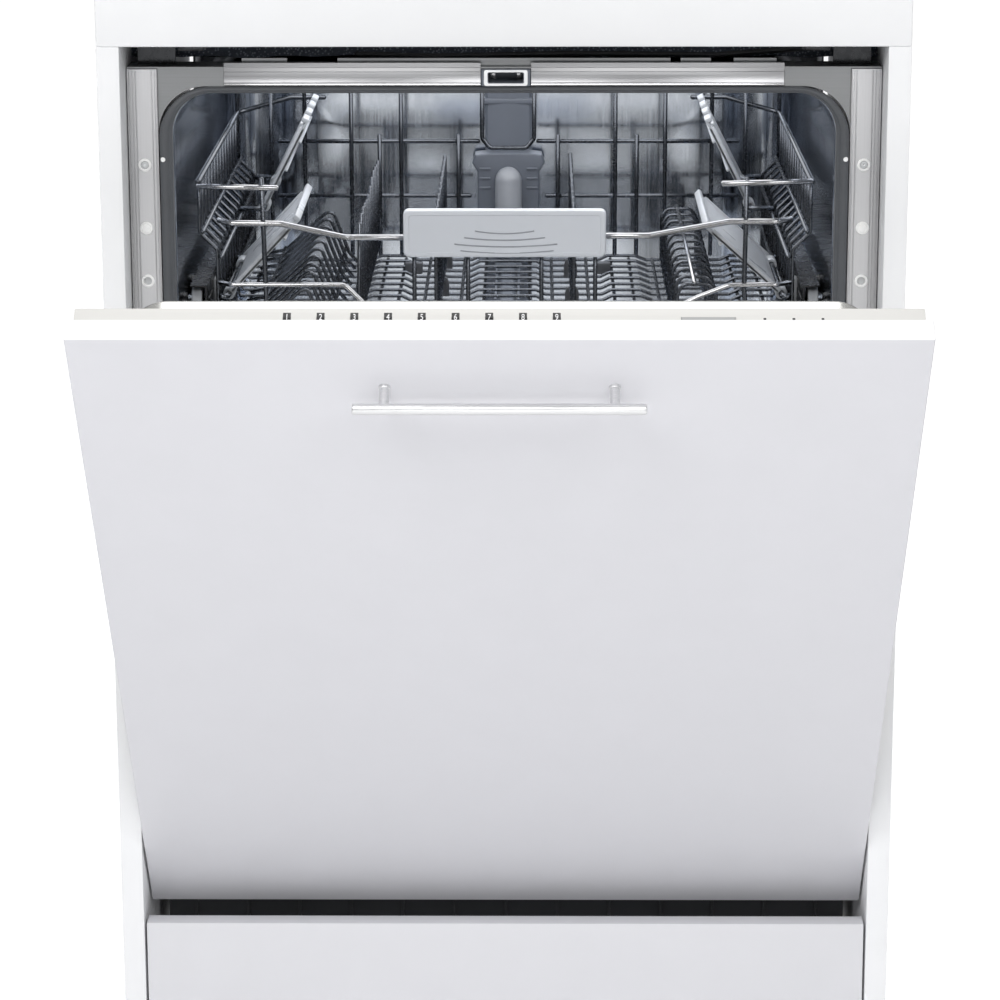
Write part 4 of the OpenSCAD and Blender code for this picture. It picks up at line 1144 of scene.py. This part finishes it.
def control_strip():
    """The top strip with its soft front lip, black windows, numerals, lenses and the power key."""
    b, w, k = door_place("control_strip"), door_place("display_windows"), door_place("power_key")
    window, pitch, lens_pitch = 5.5, 23.25, 19.95
    outline = [(b.y0, b.z0), (b.y1, b.z0), (b.y1, b.z1 - 2.6), (b.y1 - 0.8, b.z1 - 0.8),
               (b.y1 - 2.4, b.z1), (b.y0 + 0.5, b.z1), (b.y0, b.z1 - 0.5)]
    ob = make("strip_body", Shape().prism(outline, X, b.x0, b.x1, 0.5), STRIP_PLASTIC, "door",
              "control_strip", on_door=True)
    cut, lenses, surrounds = Shape(), Shape(), Shape()
    y, half = w.cy, window / 2
    xs = [w.x0 + half + pitch * i for i in range(9)]
    for x in xs:
        cut.block((x - 2.9, y - 2.9, b.z1 - 1.4), (x + 2.9, y + 2.9, b.z1 + 1), 0)
        lenses.block((x - half, y - half, b.z1 - 1.6), (x + half, y + half, b.z1 + 0.02), 0.35)
        surrounds.block((x - half, y - half, b.z1 - 0.1), (x + half, y + 6.6, b.z1 + 0.02), 0)
    cut.block((k.x0 - 0.25, k.y0 - 0.25, b.z0 - 1), (k.x1 + 0.25, k.y1 + 0.25, b.z1 + 2), 0)
    carve(ob, cut, on_door=True)
    for x in (w.x1 - 1.2 - lens_pitch * i for i in range(3)):
        lenses.block((x - 1.1, y - 2, b.z1 - 1), (x + 1.1, y + 2, b.z1 + 0.06), 0.3)
    make("window_surrounds", surrounds, WINDOW, "door", on_door=True)
    make("display_lenses", lenses, WINDOW, "door", "display_windows", on_door=True)
    make("power_key_cap", Shape().fill(k, 0.5, 3), GREY_PRINT, "power_key", "power_key",
         on_door=True)
    numerals(xs, y + 2.4, b.z1 + 0.05)


def numerals(xs, y, z):
    """Plain numerals 1 to 9, one in each window, drawn out so they read from in front."""
    tall = 1.6
    s = Shape()
    for i, x in enumerate(xs):
        curve = bpy.data.curves.new("numeral", "FONT")
        curve.body = str(i + 1)
        curve.size = 5.0
        curve.align_x, curve.align_y = "CENTER", "CENTER"
        curve.extrude = 0.03
        ob = bpy.data.objects.new("numeral", curve)
        bpy.context.scene.collection.objects.link(ob)
        bpy.context.view_layer.update()
        mesh = bpy.data.meshes.new_from_object(ob)
        s.add([(v.co.x + x, tall * v.co.y + y, v.co.z + z) for v in mesh.vertices],
              [tuple(p.vertices) for p in mesh.polygons])
        bpy.data.objects.remove(ob)
        bpy.data.curves.remove(curve)
        bpy.data.meshes.remove(mesh)
    make("numerals", s, DIGIT, "door", on_door=True)


def bar_handle():
    b = door_place("door_handle")
    r, post, foot = 4.0, 3.6, 4.1
    y, z = b.y0 + r, b.cz
    s = Shape()
    s.lathe([(0, b.x0), (2.6, b.x0), (3.6, b.x0 + 0.5), (r, b.x0 + 1.5), (r, b.x1 - 1.5),
             (3.6, b.x1 - 0.5), (2.6, b.x1), (0, b.x1)], (0, y, z), X, 48)
    for x in (-80, 80):
        s.lathe([(0, y - 0.2), (post, y), (post, b.y1 - 2.6), (foot, b.y1 - 2.2), (foot, b.y1),
                 (0, b.y1)], (x, 0, z), Y, 40)
    make("handle_bar", s, HANDLE, "door", "door_handle", 40, True)


def hinges_and_hook():
    finish_node("hinge_arms", ZINC, 0.4)
    b = door_place("latch_hook")
    root, tip, x0, x1 = b.y0 - 0.5, b.y1 - 1.8, b.x0 + 1.6, b.x1 - 1.6
    s = Shape().tube([(x0, root, b.cz), (x0, tip, b.cz), (x1, tip, b.cz), (x1, root, b.cz)], 1.8, 3.0, 14)
    s.block((b.x0 - 3, b.y0 - 0.1, b.z0), (b.x1 + 3, b.y0 + 1.2, b.z1), 0.4)
    make("hook_loop", s, PAINTED_LIT_WIRE_AND_STEEL, "door", "latch_hook", on_door=True)


def dispenser():
    """The detergent pocket under its sliding lid, and the rinse aid cap beside it."""
    b, lid, cap = (door_place(n) for n in ("dispenser_body", "dispenser_lid", "rinse_cap"))
    ob = make("dispenser_case", Shape().fill(b, 2.0, 3), RACK_PLASTIC, "door", "dispenser_body",
              on_door=True)
    cut = Shape().block((b.x0 + 9, 59, b.z0 + 9), (-15, b.y1 + 4, b.z1 - 9), 0)
    cut.lathe([(0, 66), (18.4, 66), (18.4, b.y1 + 4), (0, b.y1 + 4)], (cap.cx, 0, cap.cz), Y, 40)
    cut.block((-8, b.y1 - 0.7, b.z0 + 12), (-5, b.y1 + 2, b.z1 - 12), 0)
    carve(ob, cut, on_door=True)
    at = SHUT_DOOR @ (pivot("dispenser_lid_flip") * MM) / MM
    s = Shape().block((lid.x0, lid.y1 - 2, lid.z0), (lid.x1, lid.y1, lid.z1 - 2), 0.8)
    s.lathe([(0, lid.x0), (1.7, lid.x0), (2.0, lid.x0 + 0.5), (2.0, lid.x1 - 0.5), (1.7, lid.x1),
             (0, lid.x1)], (0, at.y, at.z), X, 20)
    for z in rows(lid.z0 + 16, lid.z0 + 34, 4):
        s.block((lid.x0 + 14, lid.y1 - 0.5, z), (lid.x1 - 14, lid.y1 + 0.35, z + 1.6), 0.4)
    make("dispenser_flap", s, WHITE_PLASTIC, "dispenser_lid", "dispenser_lid",
         on_door=True)
    face, centre = cap.y1, (cap.cx, 0, cap.cz)
    s = Shape()
    s.lathe([(0, 66.6), (17.6, 66.6), (18, 67.2), (18, face - 4.2), (17.2, face - 3.4),
             (13, face - 3.2), (0, face - 3.2)], centre, Y, 44)
    s.block((cap.x0 + 4.2, face - 4.4, cap.cz - 2.4), (cap.x1 - 4.2, face, cap.cz + 2.4), 1.2, 3)
    s.spokes(18, centre, "Y", (14.6, face - 3.6, -0.5), (16.8, face - 2.7, 0.5))
    make("rinse_cap_disc", s, GREY_PLASTIC, "rinse_cap", "rinse_cap", on_door=True)


# ---- base and machinery ----

def tray():
    """The base tray with its outer ribs, and the four levelling feet."""
    finish_node("base_tray", BASE_PLASTIC, 0.8)
    b = place("base_tray")
    s = Shape()
    for x in rows(b.x0 + 24, b.x1 - 24, 13):
        s.block((x - 1.3, b.y0 - 2.4, b.z0 + 4), (x + 1.3, b.y0 + 1, b.z1 - 4), 0.5)
    for y in rows(b.y0 + 30, b.y1 - 30, 12):
        for k in (-1, 1):
            x0, x1 = sorted((k * (b.x1 + 2.2), k * (b.x1 - 1)))
            s.block((x0, y - 1.3, b.z0 + 4), (x1, y + 1.3, b.z1 - 4), 0.5)
    for x in (-262, -228, -70, -30, 10, 50, 90, 130, 228, 262):
        s.block((x - 1.3, b.y1 - 1, b.z0 + 4), (x + 1.3, b.y1 + 2.2, b.z1 - 4), 0.5)
    for z in (b.z0, b.z1 - 5):
        s.block((b.x0 - 2.4, b.y0 - 2.6, z), (b.x1 + 2.4, b.y1 + 2.4, z + 5), 1.0)
    ob = make("tray_ribs", s, BASE_PLASTIC, "cabinet")
    carve(ob, Shape().block((b.x0 + 1, b.y0 + 1, b.z0 + 4.4), (b.x1 - 1, b.y1 - 1, b.z1 + 3), 0))
    s = Shape()
    foot = [(0, 0.05), (16.6, 0.1), (18, 1.4), (18, 4.6), (16, 6.6), (9, 7.2), (8.6, 12), (0, 12)]
    thread = [(7.0 - 0.8 * (i % 2), 11.5 + 0.8 * i) for i in range(13)]
    for x in (-255, 255):
        for y in (150, 520):
            s.lathe(foot, (x, y, 0), Z, 36)
            s.lathe([(0, 11)] + thread + [(0, 21.5)], (x, y, 0), Z, 28)
    make("levelling_feet", s, DARK_PLASTIC, "cabinet", "feet")


def back():
    """The rear frame with its screws, the straps over the felt and one inner hose."""
    finish_node("rear_frame", ZINC, 0.3)
    t, f = place("tub"), place("rear_frame")
    s = Shape()
    for z in (300, 460, 620):
        s.block((-225, t.y1 + 0.2, z), (225, t.y1 + 3.3, z + 9), 1.3)
    make("back_straps", s, ZINC, "cabinet")
    s = Shape()
    head = [(0, f.y1 - 0.2), (3.4, f.y1 - 0.15), (3.8, f.y1 - 0.4), (3.8, f.y1 - 1.9)]
    for x in (-281, 281):
        for z in (220, 400, 580, 770):
            s.lathe(head, (x, 0, z), Y, 24)
    make("back_screws", s, BLACK_METAL, "cabinet")
    s = Shape().tube([(-110, 472, 75), (-110, 446, 80), (-72, 372, 82)], 9.0, 26, 16)
    make("inner_hoses", s, RUBBER, "cabinet")


def wash_pump():
    """The pump's volute, its finned motor, the tail bearing and a foot."""
    b = place("wash_pump")
    z = b.z1 - 46
    centre = (0, b.cy, z)
    s = Shape()
    s.lathe([(0, 99), (20, 99), (44, 100), (46, 102), (46, 117), (44, 119), (38, 120), (38, 126)],
            centre, X, 48)
    s.lathe([(37.4, 126), (37.4, 186), (34, 190), (0, 190)], centre, X, 48)
    s.spokes(24, centre, "X", (128, -0.8, 34), (184, 0.8, 37.9))
    s.lathe([(22, 188), (22, 200), (19, 203), (0, 204)], centre, X, 36)
    s.block((b.x0 + 26, b.cy - 30, b.z0), (b.x0 + 86, b.cy + 30, z - 30), 3, 3)
    make("pump_motor", s, GREY_PLASTIC, "cabinet", "wash_pump")


def rear_ports():
    """The drain pump's barbed spout, the inlet valve's thread and the cable gland."""
    port_z = 75
    d = place("drain_pump")
    y0, y1, centre = d.y0, d.y1, (d.cx, 0, port_z)
    s = Shape()
    s.lathe([(0, y0), (18, y0), (20, y0 + 2), (20, y0 + 30), (25, y0 + 32), (26, y0 + 34),
             (26, y0 + 76), (24, y0 + 79), (0, y0 + 79)], centre, Y, 40)
    s.lathe([(10, y0 + 75), (10, y0 + 82), (17, y0 + 82), (17, y0 + 86), (10, y0 + 86),
             (10, y1 - 14), (8.6, y1 - 12), (10, y1 - 9), (10, y1 - 6), (8.6, y1 - 4),
             (10, y1 - 1.4), (9, y1), (7.4, y1), (7.4, y0 + 90), (0, y0 + 90)], centre, Y, 40)
    make("drain_spout", s, GREY_PLASTIC, "cabinet", "drain_pump")
    v = place("inlet_valve")
    y0, y1 = v.y0, v.y1
    s = Shape().block((v.x0, y0, v.z0), (v.x1, y0 + 44, v.z1), 2.4, 3)
    thread = [(13.2 if i % 2 else 12.2, y1 - 16 + 1.1 * i) for i in range(14)]
    s.lathe([(13.2, y0 + 42), (19, y0 + 47), (19, y0 + 51), (12.4, y0 + 51)] + thread
            + [(11.6, y1), (8.6, y1), (8.4, y1 - 12), (0, y1 - 12)], (v.cx, 0, port_z), Y, 44)
    s.block((v.cx - 12, y0 + 6, v.z1 - 4), (v.cx + 12, y0 + 30, v.z1), 1)
    make("valve_body", s, WHITE_PLASTIC, "cabinet", "inlet_valve")
    finish_node("power_box", DARK_PLASTIC, 1.0)
    box = place("power_box")
    s = Shape()
    for y in (box.y1 - 11 + 2.2 * i for i in range(5)):
        s.lathe([(9.0, y), (9.9, y + 0.4), (9.9, y + 1.2), (9.0, y + 1.6)],
                (box.cx, 0, port_z), Y, 32, loop=True)
    make("gland_rings", s, DARK_PLASTIC, "cabinet")


def filter_plate():
    """A round plate with rings of small holes and the cup's opening."""
    f, cup, c = place("filter_plate"), place("filter_cup"), place("sump")
    rim = [(14.4, f.z0 + 0.1), (103.4, f.z0 + 0.1), (104, f.z0 + 0.7), (103.6, f.z1 - 0.3), (14.4, f.z1)]
    s = Shape().lathe(rim, (c.cx, c.cy, 0), Z, 72, loop=True)
    ob = make("filter_disc", s, TUB, "cabinet", "filter_plate")

    def drill(cut, r, x, y, sides):
        z0, z1 = f.z0 - 4, f.z1 + 4
        return cut.lathe([(0, z0), (r, z0), (r, z1), (0, z1)], (x, y, 0), Z, sides)
    cut = drill(Shape(), 29.6, cup.cx, cup.cy, 44)
    for ring in range(7):
        r = 24 + 11.5 * ring
        count = int(2 * math.pi * r / 9)
        for i in range(count):
            a = 2 * math.pi * (i + 0.5 * (ring % 2)) / count
            x, y = c.cx + r * math.cos(a), c.cy + r * math.sin(a)
            if math.hypot(x - cup.cx, y - cup.cy) > 34:
                drill(cut, 2.0, x, y, 10)
    carve(ob, cut)


def sump_parts():
    """The well with its filter cup and the salt cap."""
    finish_node("sump", GREY_PLASTIC, 0.8)
    cup = place("filter_cup")
    z0, centre = cup.z0, (cup.cx, cup.cy, 0)
    s = Shape()
    s.lathe([(26.8, 180.6), (33, 180.6), (33, 183.4), (32, 184), (27.4, 184)], centre, Z, 44, loop=True)
    s.lathe([(0, z0), (28, z0), (28.8, z0 + 1), (28.8, z0 + 6), (26.8, z0 + 6.4), (26.8, z0 + 3),
             (0, z0 + 3)], centre, Z, 44)
    s.spokes(40, centre, "Z", (26.9, -0.9, z0 + 5), (28.6, 0.9, 181))
    for z in rows(z0 + 14, 172, 9):
        s.lathe([(26.7, z), (28.8, z), (28.8, z + 1.6), (26.7, z + 1.6)], centre, Z, 44, loop=True)
    s.spokes(4, centre, "Z", (28.4, -6.6, 183), (31.8, 6.6, cup.z1), 1.4, 3)
    make("filter_basket", s, GREY_PLASTIC, "filter_cup", "filter_cup")
    k = place("salt_cap")
    z0, centre = k.z0, (k.cx, k.cy, 0)
    s = Shape()
    s.lathe([(0, z0), (29, z0), (30, z0 + 1), (30, z0 + 7), (28.6, z0 + 8.6), (24, z0 + 9.6),
             (0, z0 + 9.6)], centre, Z, 48)
    s.spokes(1, centre, "Z", (-23.6, -4, z0 + 8), (23.6, 4, k.z1), 2.2, 3, math.pi / 4)
    s.spokes(30, centre, "Z", (28.8, -0.8, z0 + 1.4), (30.0, 0.8, z0 + 7))
    make("salt_cap_disc", s, WHITE_PLASTIC, "salt_cap", "salt_cap")


def mirror_pairs(half):
    """An outline's right half, given bottom to top as pairs, joined to its reflection."""
    return half + [(-x, v) for x, v in half[::-1]]


def duct():
    """The feed duct up the rear wall, with the ceiling nozzle and its pipe."""
    b = place("feed_duct")
    wall, half = b.y1, 22.0
    s = Shape()
    section = mirror_pairs([(half, wall), (half, wall - 10), (half - 2.5, wall - 13.6),
                            (half - 7, wall - 14.6), (6, wall - 15.6)])
    s.loft([[(x, y, z) for x, y in section] for z in rows(b.z0, b.z1 - 2, 24)])
    for z in (b.z0 + 60, 330, 450, 700):
        s.block((-half - 1.4, wall - 15.8, z), (half + 1.4, wall - 0.4, z + 6), 1.6, 3)
    s.lathe([(0, 759), (9, 758.2), (15, 759.6), (16, 762), (15, 772), (8, 777), (0, 778)],
            (0, 300, 0), Z, 40)
    s.tube([(0, 312, 769.5), (0, 545, 769.5)], 6.2, 0, 18)
    make("duct_column", s, DUCT, "cabinet", "feed_duct", 30)
    manifold(wall)


def manifold(wall):
    """The docking block on the duct: sloping shoulders and a dome over the feed's mouth."""
    mouth = place("upper_feed").y1
    front, dome_r = mouth + 23, 12.3
    s = Shape()
    wing = mirror_pairs([(25, 556), (29, 560), (29, 640), (34, 648), (31, 656), (20, 657.5)])
    s.prism(wing, Y, front + 2, wall - 13, 2.4, 3)
    plate = mirror_pairs([(26, 555), (29, 558), (29, 596), (25, 600)])
    s.prism(plate, Y, front - 1.5, front + 8, 2.0, 3)
    for k in (-1, 1):
        for z in (642, 633, 624):
            s.block((k * 22 - 5, front + 0.6, z), (k * 22 + 5, front + 3, z + 2), 0.7)
    make("manifold_block", s, DUCT, "cabinet", angle=30)
    dome = [(dome_r * math.cos(a), 633 + 13 * math.sin(a)) for a in (math.radians(9 * i) for i in range(11))]
    s = Shape().lathe([(0, 561), (dome_r - 1.5, 561), (dome_r, 562.5), (dome_r, 566)] + dome,
                      (0, mouth + 17, 0), Z, 36)
    make("manifold_dome", s, DOME, "cabinet")


for build in (niche, tub, frame_front, top_trim, gasket, latch, roof_and_brackets, tray, back,
              wash_pump, rear_ports, filter_plate, sump_parts, duct, upper_wires, upper_grip,
              upper_rails, feed_pipe, lower_wires, cutlery):
    build()
fold_row("left", 125)
fold_row("right", 140)
for shelf_side, front_tilt, rear_tilt in (("left", 47, 63), ("right", 42, 63)):
    cup_shelf("front", shelf_side, front_tilt, False)
    cup_shelf("rear", shelf_side, rear_tilt, True)
spray_arm("upper_arm", (60, 96, 130, 162))
spray_arm("lower_arm", (52, 88, 124, 160, 192))
for wheel_end in ENDS:
    for wheel_side, _ in SIDES:
        roller(wheel_end, wheel_side)
        wheel(wheel_end, wheel_side)
for build in (door_panel, door_shell, door_liner, control_strip, bar_handle, hinges_and_hook,
              dispenser):
    build()


# ---- camera, light and floor ----

def look(ob, at, target):
    ob.location = at
    ob.rotation_euler = (Vector(target) - Vector(at)).to_track_quat("-Z", "Y").to_euler()


def soft_light(name, at, target, size, watts):
    data = bpy.data.lights.new(name, "AREA")
    data.shape = "RECTANGLE"
    data.size, data.size_y = size
    data.energy = watts
    ob = bpy.data.objects.new(name, data)
    bpy.context.scene.collection.objects.link(ob)
    look(ob, at, target)
    ob.visible_camera = False


def studio():
    """White surroundings to the eye, with darker ones below for the metal to mirror."""
    world = bpy.data.worlds.new("studio")
    bpy.context.scene.world = world
    world.use_nodes = True
    tree = world.node_tree
    tree.nodes.clear()
    at = new(tree, "TexCoord")
    axis = new(tree, "SeparateXYZ")
    tree.links.new(at.outputs["Generated"], axis.inputs["Vector"])
    sky = ramp(tree, axis.outputs["Z"], (0.36, 0.37, 0.39), (1.0, 1.0, 1.0), 0.0, 0.75)
    seen = new(tree, "Background", Color=(1, 1, 1, 1), Strength=1.05)
    felt = new(tree, "Background", Strength=0.5)
    tree.links.new(sky, felt.inputs["Color"])
    path = new(tree, "LightPath")
    mix = new(tree, "MixShader")
    out = new(tree, "OutputWorld")
    tree.links.new(path.outputs["Is Camera Ray"], mix.inputs["Fac"])
    tree.links.new(felt.outputs["Background"], mix.inputs[1])
    tree.links.new(seen.outputs["Background"], mix.inputs[2])
    tree.links.new(mix.outputs["Shader"], out.inputs["Surface"])
    soft_light("key", (-0.9, -2.3, 2.3), (0, 0.35, 0.6), (1.2, 0.9), 32)
    soft_light("fill", (1.1, -2.3, 1.9), (0, 0.3, 0.6), (0.9, 0.9), 15)
    soft_light("front_low", (0.0, -3.0, 0.25), (0, -0.2, 0.3), (2.6, 0.5), 10.5)
    soft_light("top", (0.0, 0.6, 3.2), (0, 0.3, 0.0), (2.6, 2.6), 25)
    roof = (0, 0.3, (place("tub").z1 - 3.5) * MM)
    soft_light("tub_ceiling", roof, (0, 0.3, 0), (0.46, 0.40), 1.6)
    soft_light("tub_middle", (0, 0.3, 0.5), (0, 0.3, 0), (0.42, 0.34), 2.6)


def floor():
    """A plain pale floor that glows a little, most of all to the eye."""
    size, low = 6.0, CAD_BOX[0][Z]
    mesh = bpy.data.meshes.new("floor")
    mesh.from_pydata([(-size, -size, low), (size, -size, low), (size, size, low), (-size, size, low)],
                     [], [(0, 1, 2, 3)])
    mat, tree, out = graph("floor")
    out.inputs["Base Color"].default_value = (0.93, 0.93, 0.935, 1)
    tree.links.new(ramp(tree, noise(tree, coords(tree), 3.0), 0.55, 0.75), out.inputs["Roughness"])
    out.inputs["Emission Color"].default_value = (1, 1, 1, 1)
    path = new(tree, "LightPath")
    glow = new(tree, "Math", operation="MULTIPLY_ADD")
    tree.links.new(path.outputs["Is Camera Ray"], glow.inputs[0])
    glow.inputs[1].default_value = 0.5
    glow.inputs[2].default_value = 0.15
    tree.links.new(glow.outputs["Value"], out.inputs["Emission Strength"])
    mesh.materials.append(mat)
    ob = bpy.data.objects.new("floor", mesh)
    bpy.context.scene.collection.objects.link(ob)


def camera():
    data = bpy.data.cameras.new("camera")
    data.sensor_width = 36.0
    data.lens = 125.56
    data.clip_end = 50.0
    ob = bpy.data.objects.new("camera", data)
    bpy.context.scene.collection.objects.link(ob)
    pitch, yaw, roll = math.radians(-14.57), math.radians(0.57), math.radians(-0.11)
    ob.location = (0.0237, -2.7172, 1.1634)
    ob.rotation_euler = (Matrix.Rotation(yaw, 3, "Z") @ Matrix.Rotation(math.pi / 2 + pitch, 3, "X")
                         @ Matrix.Rotation(roll, 3, "Z")).to_euler()
    bpy.context.scene.camera = ob


camera()
studio()
floor()
bpy.context.scene.view_settings.view_transform = "Standard"
